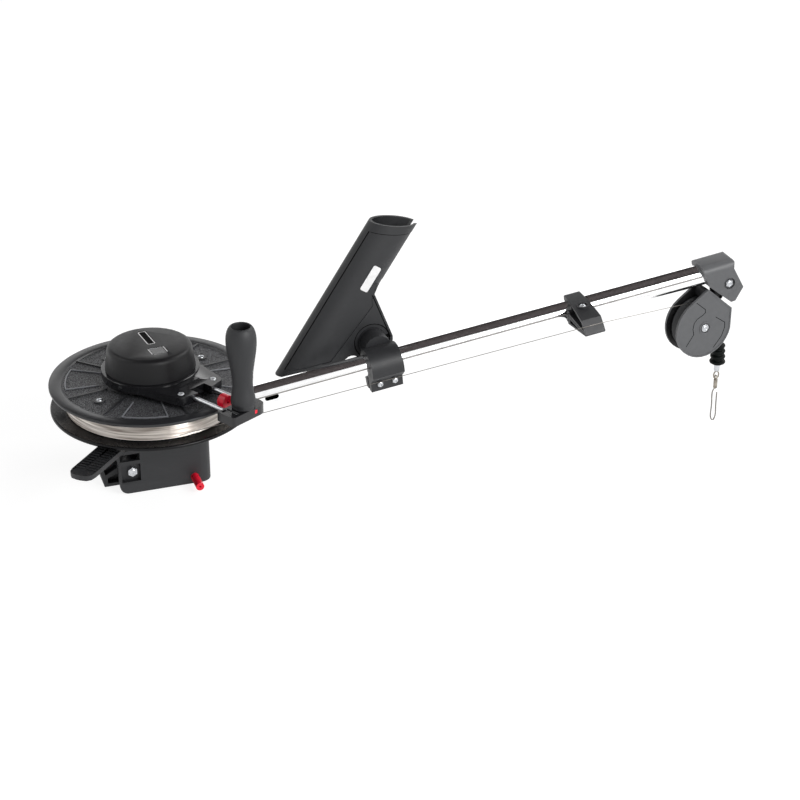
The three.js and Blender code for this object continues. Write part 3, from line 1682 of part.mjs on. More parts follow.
function headToBoom(point) {
  return point.clone().applyAxisAngle(at(0, 0, 1), degrees(head.yawAngle)).add(at(head.x, head.y, head.z));
}

const guidePoint = at(wireGuide.x, wireGuide.y, wireGuide.z);
const guideInHead = boomToHead(guidePoint);
const leadLength = Math.hypot(guideInHead.x, guideInHead.z);
const topAngle = Math.atan2(guideInHead.z, guideInHead.x) - Math.acos(pulley.wireCentre / leadLength);
const topPoint = at(Math.cos(topAngle), 0, Math.sin(topAngle)).multiplyScalar(pulley.wireCentre);

// The split lies outside the circle that the cheeks sweep when the head swivels
function splitPoint(clearance) {
  const reach = head.pivotX - head.roundX + head.roundRadius + overrun + clearance;
  const start = topPoint.clone();
  const way = guideInHead.clone().sub(topPoint).normalize();
  const fromPivot = at(topPoint.x - head.pivotX, topPoint.y, 0);
  const b = fromPivot.x * way.x + fromPivot.y * way.y;
  const a = way.x * way.x + way.y * way.y;
  const c = fromPivot.lengthSq() - reach * reach;
  return start.addScaledVector(way, (-b + Math.sqrt(b * b - a * c)) / a);
}

function makeWireRun() {
  const guideInFrame = boomToFrame(guidePoint);
  const tangent = winding.radius + wireDiameter + wireGuide.drumClearance;
  const distance = Math.hypot(guideInFrame.x, guideInFrame.y);
  const angle = Math.atan2(guideInFrame.y, guideInFrame.x) - Math.acos(tangent / distance);
  const start = at(tangent * Math.cos(angle), tangent * Math.sin(angle), spoolHeight + wireGuide.leaveHeight);
  const end = boomToFrame(headToBoom(splitPoint(gap)));
  const before = guideInFrame.clone().lerp(start, wireGuide.bendStartShare);
  const after = guideInFrame.clone().lerp(end, wireGuide.bendEndShare);
  return wireAlong([start, before, guideInFrame, after, end], wireRadius, 16);
}

function makeWireOverPulley() {
  const start = splitPoint(0);
  const points = [start, ...wireGuide.spanShares.map((share) => start.clone().lerp(topPoint, share))];
  const steps = 8;
  for (let i = 0; i <= steps; i += 1) {
    const angle = topAngle + ((hangAngle - topAngle) * i) / steps;
    points.push(at(Math.cos(angle), 0, Math.sin(angle)).multiplyScalar(pulley.wireCentre));
  }
  const down = at(0, 0, -1)
    .applyAxisAngle(at(0, 1, 0), boomRise)
    .applyAxisAngle(at(0, 0, 1), -degrees(head.yawAngle));
  const drop = tail.stopperTop + tail.crimpRadius;
  for (const share of wireGuide.hangShares) {
    points.push(hangPoint.clone().addScaledVector(down, drop * share));
  }
  return wireAlong(points, wireRadius, 30);
}

// Terminal tackle, with its own upright frame at the point where the wire hangs from the pulley

const stopperBottom = -tail.stopperTop - tail.stopperLength;
const crimpBottom = stopperBottom - gap - tail.crimpLength;
const eyeBottom = crimpBottom - tail.eyeLength;
const linkBottom = eyeBottom - tail.linkLength;

function makeStopper() {
  const { stopperTop, stopperLength, stopperRadius, stopperNeck, stopperRibs, crimpRadius } = tail;
  const step = stopperLength / stopperRibs;
  const profile = [[0, stopperBottom]];
  for (let i = 0; i < stopperRibs; i += 1) {
    const bottom = stopperBottom + i * step;
    const shrink = 1 - tail.stopperTaperShare * i;
    profile.push([stopperNeck * shrink, bottom]);
    profile.push([stopperRadius * shrink, bottom + step * tail.ribStartShare]);
    profile.push([stopperRadius * shrink, bottom + step * tail.ribEndShare]);
    profile.push([stopperNeck * shrink, bottom + step * tail.neckStartShare]);
  }
  profile.push([crimpRadius, -stopperTop]);
  profile.push([0, -stopperTop]);
  const bore = pin(wireRadius + gap, -stopperTop - 2 * crimpRadius, -stopperTop + overrun, 12);
  return shaped({ body: turned(profile, 12), cut: [bore] });
}

function makeCrimp() {
  return pin(tail.crimpRadius, crimpBottom, stopperBottom - gap, 20);
}

function loopPoints(width, bottom, top, count) {
  return Array.from({ length: count }, (_, i) => {
    const angle = (2 * Math.PI * i) / count;
    return at(width * Math.sin(angle), 0, (bottom + top) / 2 + ((top - bottom) / 2) * Math.cos(angle));
  });
}

function closedWire(points, radius, steps, sides = 6) {
  const section = shapeOf(arcPoints(0, 0, radius, 0, 360 - 360 / sides, sides - 1));
  const route = new THREE.CatmullRomCurve3(points, true, "centripetal");
  return new THREE.ExtrudeGeometry(section, { steps, extrudePath: route, bevelEnabled: false });
}

function makeEye() {
  const wire = tail.eyeWire;
  const top = crimpBottom - gap - wire;
  return closedWire(loopPoints(tail.eyeRadius, eyeBottom + wire, top, 8), wire, 16);
}

function makeLink() {
  const wire = tail.eyeWire;
  const barrelTop = eyeBottom - gap;
  const hookTop = eyeBottom + 2 * wire + tail.eyeRadius;
  const linkRoute = loopPoints(tail.eyeRadius * tail.linkWidthShare, barrelTop - wire, hookTop, 8);
  const loop = closedWire(linkRoute, wire, 16).rotateZ(Math.PI / 2);
  return shaped({
    body: loop,
    add: [pin(tail.crimpRadius * tail.barrelShare, linkBottom, barrelTop, 12)],
  });
}

function makeSnap() {
  const wire = tail.snapWire;
  const top = linkBottom + wire - tail.snapGap;
  const bottom = linkBottom - tail.snapLength;
  const r = tail.snapRadius;
  const heel = bottom + tail.snapHeelShare * tail.snapLength;
  const points = [
    at(r * tail.snapTipShare, 0, top - tail.snapTipDropShare * tail.snapLength),
    at(0, 0, top - wire),
    at(-r, 0, top - tail.snapShoulderShare * tail.snapLength),
    at(-r, 0, (top + bottom) / 2),
    at(-r, 0, heel),
    at(0, 0, bottom + wire),
    at(r, 0, heel),
    at(r, 0, (top + bottom) / 2),
    at(r, 0, top - tail.snapLatchShare * tail.snapLength),
  ];
  return wireAlong(points, wire, 30, 6);
}

// Assembly
piece(downrigger, "mount_foot", blackPlastic, makeFoot());
piece(downrigger, "pivot_bolt", zincSteel, makePivotBolt());
piece(downrigger, "pivot_nut", zincSteel, makePivotNut());
piece(downrigger, "lock_pin", redPlastic, makeLockPin());
piece(downrigger, "frame", blackPlastic, makeFrame());
piece(downrigger, "spindle", polishedSteel, makeSpindle());
piece(boomGroup, "boom_tube", polishedSteel, makeBoomTube());
piece(boomGroup, "boom_bolt", zincSteel, makeBoomBolt());
piece(leverGroup, "release_lever", blackPlastic, makeLever());
piece(leverGroup, "lever_screw", zincSteel, makeLeverScrew());
piece(spoolGroup, "ratchet_wheel", zincSteel, makeRatchet());
piece(spoolGroup, "lower_flange", blackPlastic, makeLowerFlange());
piece(spoolGroup, "upper_flange", blackPlastic, makeUpperFlange());
piece(spoolGroup, "spool_core", blackPlastic, makeCore());
piece(spoolGroup, "spool_bush", whiteNylon, makeBush());
piece(spoolGroup, "wire_inner_layers", wireSteel, makeInnerLayers());
piece(spoolGroup, "wire_winding", wireSteel, makeWinding());
flangeScrewPlaces().forEach(({ place }, i) => {
  piece(spoolGroup, "flange_screw_" + (i + 1), zincSteel, makeFlangeScrew(place));
});
piece(crankGroup, "clutch_pad", blackRubber, makeClutchPad());
piece(crankGroup, "crank_hub", glossPlastic, makeCrankHub());
piece(crankGroup, "arm_screw_near", zincSteel, makeArmScrew(-1));
piece(crankGroup, "arm_screw_far", zincSteel, makeArmScrew(1));
piece(crankGroup, "arm_rod_near", polishedSteel, makeRod(-1));
piece(crankGroup, "arm_rod_far", polishedSteel, makeRod(1));
piece(crankGroup, "handle_plate", glossPlastic, makeHandlePlate());
piece(crankGroup, "release_button", redPlastic, makeButton());
piece(crankGroup, "grip", blackPlastic, makeGrip());
piece(crankGroup, "grip_bolt", zincSteel, makeGripBolt());
piece(domeGroup, "crank_nut", zincSteel, makeCrankNut());
piece(domeGroup, "dome_cap", blackPlastic, makeDome());
piece(domeGroup, "counter_window", clearPane, makePane());
piece(domeGroup, "counter_shaft", zincSteel, makeCounterShaft());
["counter_wheel_hundreds", "counter_wheel_tens", "counter_wheel_ones"].forEach((name, i) => {
  piece(domeGroup, name, whiteNylon, makeCounterWheel(i - 1));
});
piece(boomGroup, "clamp_body", blackPlastic, makeClamp());
piece(boomGroup, "clamp_screw_inner", zincSteel, makeClampScrew(-1));
piece(boomGroup, "clamp_screw_outer", zincSteel, makeClampScrew(1));
piece(holderGroup, "rod_holder", blackPlastic, makeHolder());
piece(holderGroup, "rod_holder_bolt", zincSteel, makeHolderBolt());
piece(boomGroup, "guide_arm", blackPlastic, makeGuideArm());
piece(boomGroup, "guide_jaw", blackPlastic, makeGuideJaw());
piece(boomGroup, "guide_bolt", zincSteel, makeGuideBolt());
piece(boomGroup, "end_cap", greyPlastic, makeEndCap());
piece(boomGroup, "end_cap_bolt", zincSteel, makeCapBolt());
piece(headGroup, "pulley_neck", blackPlastic, makeNeck());
piece(headGroup, "pulley_cheek_near", greyPlastic, makeCheek(-1));
piece(headGroup, "pulley_cheek_far", greyPlastic, makeCheek(1));
piece(headGroup, "pulley_wheel", blackPlastic, makePulleyWheel());
piece(headGroup, "pulley_axle", zincSteel, makeAxle());
piece(downrigger, "wire_run", wireSteel, makeWireRun());
piece(headGroup, "wire_over_pulley", wireSteel, makeWireOverPulley());
piece(plumb, "line_stopper", blackRubber, makeStopper());
piece(plumb, "crimp_sleeve", zincSteel, makeCrimp());
piece(plumb, "swivel_eye", brass, makeEye());
piece(plumb, "swivel_link", brass, makeLink());
piece(plumb, "snap_hook", zincSteel, makeSnap());

console.log("least gap in the winding: " + leastWindingGap().toFixed(2) + " mm");

export default downrigger;
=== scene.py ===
import json
import math

import bmesh
import bpy
from mathutils import Matrix, Vector


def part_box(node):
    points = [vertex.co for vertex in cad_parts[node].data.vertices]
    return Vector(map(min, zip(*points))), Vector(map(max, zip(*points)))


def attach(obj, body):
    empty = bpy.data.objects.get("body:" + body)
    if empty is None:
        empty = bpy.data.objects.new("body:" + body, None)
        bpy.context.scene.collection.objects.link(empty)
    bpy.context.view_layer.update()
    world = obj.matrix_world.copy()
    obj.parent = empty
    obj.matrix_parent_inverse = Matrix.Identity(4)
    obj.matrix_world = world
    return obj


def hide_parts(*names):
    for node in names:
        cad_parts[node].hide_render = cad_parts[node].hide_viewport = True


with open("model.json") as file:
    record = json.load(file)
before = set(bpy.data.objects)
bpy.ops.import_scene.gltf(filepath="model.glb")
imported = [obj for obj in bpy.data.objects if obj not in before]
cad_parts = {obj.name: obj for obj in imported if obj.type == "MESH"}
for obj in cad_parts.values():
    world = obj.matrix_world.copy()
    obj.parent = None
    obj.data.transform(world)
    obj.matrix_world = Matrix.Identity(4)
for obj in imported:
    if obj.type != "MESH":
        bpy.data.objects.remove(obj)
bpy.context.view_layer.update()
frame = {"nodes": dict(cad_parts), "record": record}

# Scene units are metres, and sizes in this script are written in millimetres times MM
MM = 0.001
scene = bpy.context.scene
nodes = frame["nodes"]
bodies = frame["record"]["behaviour"]["bodies"]
body_of = {node: body for body, members in bodies.items() for node in members}
joints = {joint["name"]: joint for joint in frame["record"]["behaviour"]["joints"]}

# Places of the object's own axes, read from the part's joints
spool_axis = Vector(joints["spool_spin"]["pos_m"])
pulley_centre = Vector(joints["pulley_spin"]["pos_m"])
pulley_axis = Vector(joints["pulley_spin"]["axis"]).normalized()
swivel_axis = Vector(joints["pulley_head_swivel"]["axis"]).normalized()
boom_direction = Vector((0, 1, 0)).cross(swivel_axis).normalized()


# Camera: a 90 mm lens on a 36 mm sensor, as far off and as high as in the photograph

CAMERA_PLACE = Vector((-477.1, -2391.2, 1354.1)) * MM
CAMERA_AZIMUTH = math.radians(19.2)
CAMERA_ELEVATION = math.radians(27.1)
CAMERA_ROLL = math.radians(0.2)
CAMERA_LENS = 90
CAMERA_SENSOR = 36
CAMERA_REACH = 30


def make_camera():
    data = bpy.data.cameras.new("camera")
    data.lens = CAMERA_LENS
    data.sensor_width = CAMERA_SENSOR
    data.clip_end = CAMERA_REACH
    camera = bpy.data.objects.new("camera", data)
    scene.collection.objects.link(camera)
    turn = Matrix.Rotation(-CAMERA_AZIMUTH, 4, "Z")
    tilt = Matrix.Rotation(math.pi / 2 - CAMERA_ELEVATION, 4, "X")
    roll = Matrix.Rotation(CAMERA_ROLL, 4, "Z")
    camera.matrix_world = Matrix.Translation(CAMERA_PLACE) @ turn @ tilt @ roll
    scene.camera = camera


make_camera()


# Materials

def linear(code):
    """sRGB hex to linear RGBA."""
    values = [int(code[i:i + 2], 16) / 255 for i in (0, 2, 4)]
    return tuple(v / 12.92 if v <= 0.04045 else ((v + 0.055) / 1.055) ** 2.4 for v in values) + (1,)


def add(tree, kind, settings=None, **links):
    """Adds a node; settings are its own properties, links are socket values or other sockets."""
    made = tree.nodes.new(kind)
    for key, value in (settings or {}).items():
        setattr(made, key, value)
    for key, value in links.items():
        name = key.replace("_", " ")
        socket = made.inputs[int(key[1:])] if key[0] == "i" and key[1:].isdigit() else made.inputs[name]
        if isinstance(value, bpy.types.NodeSocket):
            tree.links.new(value, socket)
        else:
            socket.default_value = value
    return made


def new_material(name):
    """A material with its node tree, its empty shader and the object coordinates."""
    material = bpy.data.materials.new(name)
    material.use_nodes = True
    tree = material.node_tree
    tree.nodes.clear()
    shader = add(tree, "ShaderNodeBsdfPrincipled")
    add(tree, "ShaderNodeOutputMaterial", Surface=shader.outputs[0])
    place = add(tree, "ShaderNodeTexCoord").outputs["Object"]
    return material, tree, shader, place


def mixed(tree, factor, dark, light):
    """A colour between two hex codes."""
    return add(tree, "ShaderNodeMix", {"data_type": "RGBA"}, i0=factor, i6=linear(dark), i7=linear(light))


def join(tree, shader, colour, gloss, bump):
    """Leads a colour, a roughness and a bump into the shader."""
    tree.links.new(colour.outputs[2], shader.inputs["Base Color"])
    tree.links.new(gloss.outputs[0], shader.inputs["Roughness"])
    tree.links.new(bump.outputs[0], shader.inputs["Normal"])


def moulded(name, dark, light, roughness, grain, depth, spread=0.08, specular=0.5):
    """A moulded plastic or rubber: mottled colour, sheen that varies, and a grain of grain millimetres."""
    material, tree, shader, place = new_material(name)
    shader.inputs["Specular IOR Level"].default_value = specular
    pebble = add(tree, "ShaderNodeTexVoronoi", {"feature": "SMOOTH_F1"}, Vector=place,
                 Scale=1 / (grain * MM), Smoothness=0.6)
    fine = add(tree, "ShaderNodeTexNoise", Vector=place, Scale=2 / (grain * MM), Detail=3.0)
    cloud = add(tree, "ShaderNodeTexNoise", Vector=place, Scale=1 / (9 * grain * MM), Detail=4.0)
    relief = add(tree, "ShaderNodeMath", {"operation": "MULTIPLY_ADD"}, i0=fine.outputs[0], i1=0.35,
                 i2=pebble.outputs["Distance"])
    bump = add(tree, "ShaderNodeBump", Strength=0.9, Distance=depth * MM, Height=relief.outputs[0])
    colour = mixed(tree, cloud.outputs[0], dark, light)
    sheen = add(tree, "ShaderNodeMapRange", i0=cloud.outputs[0], i3=roughness - spread,
                i4=roughness + spread)
    join(tree, shader, colour, sheen, bump)
    return material


def stippled(name, dark, light, grain, depth):
    """A coarse moulded stipple: each bump of grain millimetres has a shinier top, painted paler as a glint.
    """
    material, tree, shader, place = new_material(name)
    pebble = add(tree, "ShaderNodeTexVoronoi", {"feature": "F1"}, Vector=place, Scale=1 / (grain * MM))
    fine = add(tree, "ShaderNodeTexNoise", Vector=place, Scale=1.5 / (grain * MM), Detail=3.0)
    bumps = add(tree, "ShaderNodeMath", {"operation": "SUBTRACT"}, i0=fine.outputs[0],
                i1=pebble.outputs["Distance"])
    tops = add(tree, "ShaderNodeMapRange", i0=bumps.outputs[0], i1=-0.15, i2=0.35)
    colour = mixed(tree, tops.outputs[0], dark, light)
    sheen = add(tree, "ShaderNodeMapRange", i0=tops.outputs[0], i3=0.6, i4=0.3)
    bump = add(tree, "ShaderNodeBump", Strength=1.0, Distance=depth * MM, Height=bumps.outputs[0])
    join(tree, shader, colour, sheen, bump)
    return material


def metal(name, dark, light, roughness, grain, depth, along=(1, 1, 1), spread=0.05, streaked=False):
    """A metal whose fine scratches run along the axis with the smallest scale; streaks take its colours."""
    material, tree, shader, place = new_material(name)
    shader.inputs["Metallic"].default_value = 1
    stretched = add(tree, "ShaderNodeMapping", Vector=place, Scale=along)
    lines = add(tree, "ShaderNodeTexNoise", Vector=stretched.outputs[0], Scale=1 / (grain * MM), Detail=4.0)
    cloud = add(tree, "ShaderNodeTexNoise", Vector=place, Scale=1 / (14 * grain * MM), Detail=3.0)
    bump = add(tree, "ShaderNodeBump", Strength=0.5, Distance=depth * MM, Height=lines.outputs[0])
    pattern = lines if streaked else cloud
    tone = add(tree, "ShaderNodeMapRange", i0=pattern.outputs[0], i1=0.3, i2=0.7)
    colour = mixed(tree, tone.outputs[0], dark, light)
    gloss = add(tree, "ShaderNodeMapRange", i0=lines.outputs[0], i3=max(roughness - spread, 0.02),
                i4=roughness + spread)
    join(tree, shader, colour, gloss, bump)
    return material


# Glass-filled nylon, moulded with a fine leather grain: charcoal, with a broad soft sheen
black_nylon = moulded("glass_filled_nylon", "17181a", "212225", 0.5, 0.9, 0.05)
# The spool's web has a coarser moulded stipple than its rim, with painted glints on the bump tops
stippled_nylon = stippled("stippled_nylon", "0c0d0e", "66676b", 1.7, 0.6)
# The dome's nylon is blacker, with a fine satin top
dome_nylon = moulded("satin_nylon", "0c0c0e", "131315", 0.42, 0.8, 0.04, specular=0.3)
# Satin acetal rim of the flanges
rim_acetal = moulded("satin_acetal", "1a1b1d", "242528", 0.36, 1.4, 0.02)
# The lower flange, polished by the wire, and darker than the rim acetal as painted shade
worn_and_shaded_acetal = moulded("worn_and_shaded_acetal", "08080a", "101012", 0.26, 1.4, 0.02, specular=0.2)
# Inner faces of the pulley cheeks: a near-black copy of the ABS, painted shade between the cheeks
shaded_cheek_abs = moulded("shaded_cheek_abs", "0c0c0d", "171718", 0.4, 1.2, 0.03)
# Drawn inner wall of the tube, dull, and darkened to near-black as painted shade
shaded_tube_bore = metal("shaded_drawn_bore", "141414", "202020", 0.6, 0.7, 0.01, (0.01, 1, 1))
# Weathered grey ABS of the pulley head and end cap
grey_abs = moulded("grey_abs", "4b4c4e", "57585a", 0.48, 0.8, 0.03)
# High-gloss ABS of the crank arm
gloss_abs = moulded("gloss_abs", "141416", "1c1c1f", 0.16, 3, 0.01, 0.04)
# Soft thermoplastic rubber of the grip, matt with a faint bloom
grip_rubber = moulded("grip_rubber", "1a1b1d", "232427", 0.56, 0.7, 0.04)
# Red acetal of the pin and the button
red_acetal = moulded("red_acetal", "e00028", "f00a34", 0.34, 1.6, 0.02)
# Ribbed neoprene of the line stopper
neoprene = moulded("neoprene", "030606", "070b0a", 0.5, 0.6, 0.06, specular=0.12)
# Black friction lining
lining = moulded("friction_lining", "202020", "2c2b29", 0.8, 0.5, 0.08)
# Natural nylon of the bushes and number wheels
white_nylon = moulded("natural_nylon", "d9d6cc", "e8e5dc", 0.45, 0.8, 0.02)
# Polished stainless tube with faint drawing lines along it
stainless = metal("polished_stainless", "f4f4f5", "fdfdfd", 0.07, 0.7, 0.002, (0.01, 1, 1), 0.02)
# Bright zinc on the bolts, slightly clouded
zinc = metal("bright_zinc", "b4b6b9", "d4d6d9", 0.28, 0.5, 0.02)
# Stranded stainless wire, dulled by use
wire_steel = metal("stranded_wire", "9a8f86", "fffaf4", 0.3, 2.4, 0.05, (0.04, 0.04, 1), streaked=True)
# Nickel-plated brass of the swivel
nickel = metal("nickelled_brass", "7d776e", "a8a196", 0.3, 0.5, 0.02)
# Dull steel of the run of wire and the snap
dull_steel = metal("dull_steel", "6a6763", "8f8b86", 0.35, 0.5, 0.02)
# A dark line along the tube, a painted reflection, dull against the polish
reflection_line_steel = metal("painted_reflection_line", "6a6866", "8a8784", 0.45, 0.6, 0.01, (0.05, 1, 1))
# Ridges on the spool's web, painted paler as a highlight
ridge_highlight_acetal = moulded("ridge_highlight_acetal", "5c5e62", "8a8c91", 0.3, 1.2, 0.05)
# White pad print
white_print = moulded("white_print", "dedede", "f0f0f0", 0.5, 0.8, 0.005)
# The dark shade in a moulded groove
groove_shade_and_plate_black = moulded("groove_shade", "020202", "060606", 0.7, 0.8, 0.02, specular=0.05)


def make_pane():
    """Smoked acrylic of the window over the counter wheels."""
    material, tree, shader, place = new_material("smoked_acrylic")
    shader.inputs["Base Color"].default_value = linear("4a4d50")
    shader.inputs["Transmission Weight"].default_value = 1
    shader.inputs["Specular IOR Level"].default_value = 0.15
    shader.inputs["IOR"].default_value = 1.49
    smear = add(tree, "ShaderNodeTexNoise", Vector=place, Scale=1 / (4 * MM), Detail=3.0)
    haze = add(tree, "ShaderNodeMapRange", i0=smear.outputs[0], i3=0.02, i4=0.12)
    tree.links.new(haze.outputs[0], shader.inputs["Roughness"])
    return material


smoked_acrylic = make_pane()

FINISHES = {
    black_nylon: (
        "mount_foot", "frame", "release_lever", "spool_core", "clamp_body", "rod_holder",
        "guide_arm", "guide_jaw", "pulley_neck", "pulley_wheel",
    ),
    dome_nylon: ("dome_cap",),
    rim_acetal: ("upper_flange",),
    worn_and_shaded_acetal: ("lower_flange",),
    grey_abs: ("end_cap", "pulley_cheek_near", "pulley_cheek_far"),
    gloss_abs: ("crank_hub", "handle_plate"),
    grip_rubber: ("grip",),
    red_acetal: ("lock_pin", "release_button"),
    neoprene: ("line_stopper",),
    lining: ("clutch_pad",),
    white_nylon: (
        "spool_bush", "counter_wheel_ones", "counter_wheel_tens", "counter_wheel_hundreds",
    ),
    stainless: ("boom_tube", "spindle"),
    wire_steel: ("wire_inner_layers", "wire_winding"),
    dull_steel: ("wire_run", "wire_over_pulley", "snap_hook"),
    nickel: ("swivel_eye", "swivel_link"),
    smoked_acrylic: ("counter_window",),
}
finish_of = {node: material for material, names in FINISHES.items() for node in names}


# Turned and placed forms. A profile is a list of (radius, height) pairs in millimetres

MERGE = 0.001 * MM
CLOSE = 0.05 * MM


def turned(profile, steps=96, closed=False):
    """The profile, turned once about Z."""
    maker = bmesh.new()
    row = [maker.verts.new((radius * MM, 0, height * MM)) for radius, height in profile]
    edges = [maker.edges.new(pair) for pair in zip(row, row[1:])]
    if closed:
        edges.append(maker.edges.new((row[-1], row[0])))
    bmesh.ops.spin(maker, geom=row + edges, cent=(0, 0, 0), axis=(0, 0, 1), angle=2 * math.pi, steps=steps,
                   use_merge=True)
    bmesh.ops.remove_doubles(maker, verts=maker.verts, dist=MERGE)
    bmesh.ops.recalc_face_normals(maker, faces=maker.faces)
    return maker


def placed(maker, place, axis):
    """Stands a form that was made about +Z at place, along axis."""
    turn = Vector((0, 0, 1)).rotation_difference(Vector(axis)).to_matrix().to_4x4()
    bmesh.ops.transform(maker, matrix=Matrix.Translation(place) @ turn, verts=maker.verts)
    return maker


def shifted(across, depth, up):
    """A move in millimetres."""
    return Matrix.Translation(Vector((across, depth, up)) * MM)


def quarter_turn(axis):
    return Matrix.Rotation(math.pi / 2, 4, axis)


def plate(maker, matrix, width, height, thickness, corner=0.0):
    """A flat plate in millimetres, centred on the matrix, with its back on the matrix's XY plane."""
    size = Matrix.Diagonal((width * MM, height * MM, thickness * MM, 1))
    made = bmesh.ops.create_cube(maker, size=1, matrix=matrix @ shifted(0, 0, thickness / 2) @ size)
    if corner:
        across = {edge for vertex in made["verts"] for edge in vertex.link_edges
                  if abs(edge.calc_length() - thickness * MM) < CLOSE}
        bmesh.ops.bevel(maker, geom=list(across), offset=corner * MM, offset_type="OFFSET", segments=4,
                        profile=0.5, affect="EDGES", material=-1, clamp_overlap=True)


def carved(maker, cutter):
    """The first form with the second cut out of it."""
    shapes = []
    for part in (maker, cutter):
        mesh = bpy.data.meshes.new("carving")
        part.to_mesh(mesh)
        part.free()
        shape = bpy.data.objects.new("carving", mesh)
        scene.collection.objects.link(shape)
        shapes.append(shape)
    cut = shapes[0].modifiers.new("cut", "BOOLEAN")
    cut.operation = "DIFFERENCE"
    cut.solver = "EXACT"
    cut.object = shapes[1]
    graph = bpy.context.evaluated_depsgraph_get()
    result = bmesh.new()
    result.from_mesh(shapes[0].evaluated_get(graph).to_mesh())
    for shape in shapes:
        bpy.data.objects.remove(shape)
    return result


# Frames of the boom, the rod holder, the dome and the pulley head

def frame_of(origin, along, up):
    """A matrix with X along, Z up and Y between them."""
    along, up = Vector(along).normalized(), Vector(up).normalized()
    across = up.cross(along)
    return Matrix.Translation(origin) @ Matrix((along, across, up)).transposed().to_4x4()


BOOM_ORIGIN = Vector((0, 7, 76.5)) * MM
boom_frame = frame_of(BOOM_ORIGIN, boom_direction, swivel_axis)
head_along = pulley_axis.cross(swivel_axis)
head_frame = frame_of(pulley_centre, head_along, swivel_axis)
HOLDER_TILT = math.radians(49.4)
POST = Vector((333.5, 0, 16)) * MM
holder_frame = boom_frame @ Matrix.Translation(POST) @ Matrix.Rotation(-HOLDER_TILT, 4, "Y")
dome_turn = math.atan2(joints["ones_wheel_turn"]["axis"][1], joints["ones_wheel_turn"]["axis"][0])
dome_frame = Matrix.Translation(spool_axis) @ Matrix.Rotation(dome_turn, 4, "Z")


# Dressing: a node's own form, merged, with worn edges and smooth rounds

SHARP = math.radians(34)
FLAT = math.radians(0.3)
PLAIN_WEAR = 0.2


def smooth_by_angle(mesh_maker):
    """Smooth faces, with the sharp edges kept sharp."""
    for face in mesh_maker.faces:
        face.smooth = True
    for edge in mesh_maker.edges:
        edge.smooth = edge.is_manifold and edge.calc_face_angle(math.pi) < SHARP


def make_piece(name, mesh_maker, body, material, replaced=(), worn=0.0):
    """Turns a finished bmesh into a piece that rides on body; worn is the radius of its worn edges."""
    smooth_by_angle(mesh_maker)
    mesh = bpy.data.meshes.new(name)
    mesh_maker.to_mesh(mesh)
    mesh_maker.free()
    piece = bpy.data.objects.new(name, mesh)
    scene.collection.objects.link(piece)
    mesh.materials.append(material)
    if worn:
        bevel = piece.modifiers.new("worn_edges", "BEVEL")
        bevel.width = worn * MM
        bevel.segments = 2
        bevel.limit_method = "ANGLE"
        bevel.angle_limit = SHARP
        bevel.harden_normals = True
        bevel.miter_outer = "MITER_ARC"
    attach(piece, body)
    if replaced:
        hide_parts(*replaced)
    return piece


def dressed(node):
    """The node's solid again, as one clean mesh with worn edges, standing for the node."""
    maker = bmesh.new()
    maker.from_mesh(nodes[node].data)
    bmesh.ops.remove_doubles(maker, verts=maker.verts, dist=MERGE)
    bmesh.ops.dissolve_limit(maker, angle_limit=FLAT, verts=maker.verts, edges=maker.edges)
    second = None
    if node in SECOND_FINISHES_AND_SHADES:
        mark, second = SECOND_FINISHES_AND_SHADES[node]
        mark(maker)
    if node in RESHAPED:
        maker = RESHAPED[node](maker)
    worn = worn_of.get(node, PLAIN_WEAR)
    piece = make_piece(node + "_body", maker, body_of[node], finish_of.get(node, zinc), (node,), worn)
    if second:
        piece.data.materials.append(second)


# The flange's web: how far the hub stands above it, how deep it is and how far out it goes
WEB = {"hub_rise": 3, "recess": 1.6, "radius": 121}
FACING = 0.9


def stipple_web(maker):
    """Gives the second material to the sunk faces between the hub and the rim."""
    top = max(vertex.co.z for vertex in maker.verts) - WEB["hub_rise"] * MM
    for face in maker.faces:
        middle = face.calc_center_median()
        reach = math.hypot(middle.x - spool_axis.x, middle.y - spool_axis.y)
        sunk = middle.z < top - WEB["recess"] * MM / 2
        if face.normal.z > FACING and sunk and reach < WEB["radius"] * MM:
            face.material_index = 1


def shade_cheek_insides(maker):
    """Gives the second material, painted shade, to the faces that look at the pulley wheel."""
    for face in maker.faces:
        away = (face.calc_center_median() - pulley_centre).dot(pulley_axis)
        if face.normal.dot(pulley_axis) * math.copysign(1, away) < -FACING:
            face.material_index = 1


# The end cap's crown: where it starts along and up the boom, and how far its corner is drawn out
CROWN = {"start": 861.5, "low": 10.5, "high": 19.5, "right": 2.7, "top": 9, "lift": 3}


def square_crown(maker):
    """Draws the cap's upper outer corner out to a tighter round."""
    for vertex in maker.verts:
        place = boom_frame.inverted() @ vertex.co / MM
        if place.x > CROWN["start"] and place.z > CROWN["low"]:
            share = (place.z - CROWN["low"]) / (CROWN["high"] - CROWN["low"])
            place.x += CROWN["right"] + (CROWN["top"] - CROWN["right"]) * share
            place.z += CROWN["lift"] * (1 - share)
            vertex.co = boom_frame @ (place * MM)
    return maker


# The gusset's spare corner: its knee, its extent, and the height of its edge at three depths
TRIM = {"knee": Vector((62.4, 35.9)), "shoulder": 74, "outside": 100, "below": 15}
TRIM_EDGE = ((30, 42), (43.5, 36.4), (48, 32))


def trim_gusset(maker):
    """Takes off the gusset's corner that stands out beside the rod socket."""
    cutter = bmesh.new()
    inside, outside, below = TRIM["knee"].x, TRIM["outside"], TRIM["below"]
    for across, top in TRIM_EDGE:
        knee = (inside, min(top, TRIM["knee"].y))
        outline = (knee, (TRIM["shoulder"], top), (outside, top), (outside, below), (inside, below))
        for along, up in outline:
            cutter.verts.new(holder_frame @ (Vector((along, across, up)) * MM))
    bmesh.ops.convex_hull(cutter, input=cutter.verts)
    return carved(maker, cutter)


# The knob's seat: its depth with a narrow band about it, the bore inside it and the lift
KNOB = {"seat": 58, "band": 0.05, "bore": 5, "lift": 0.4}


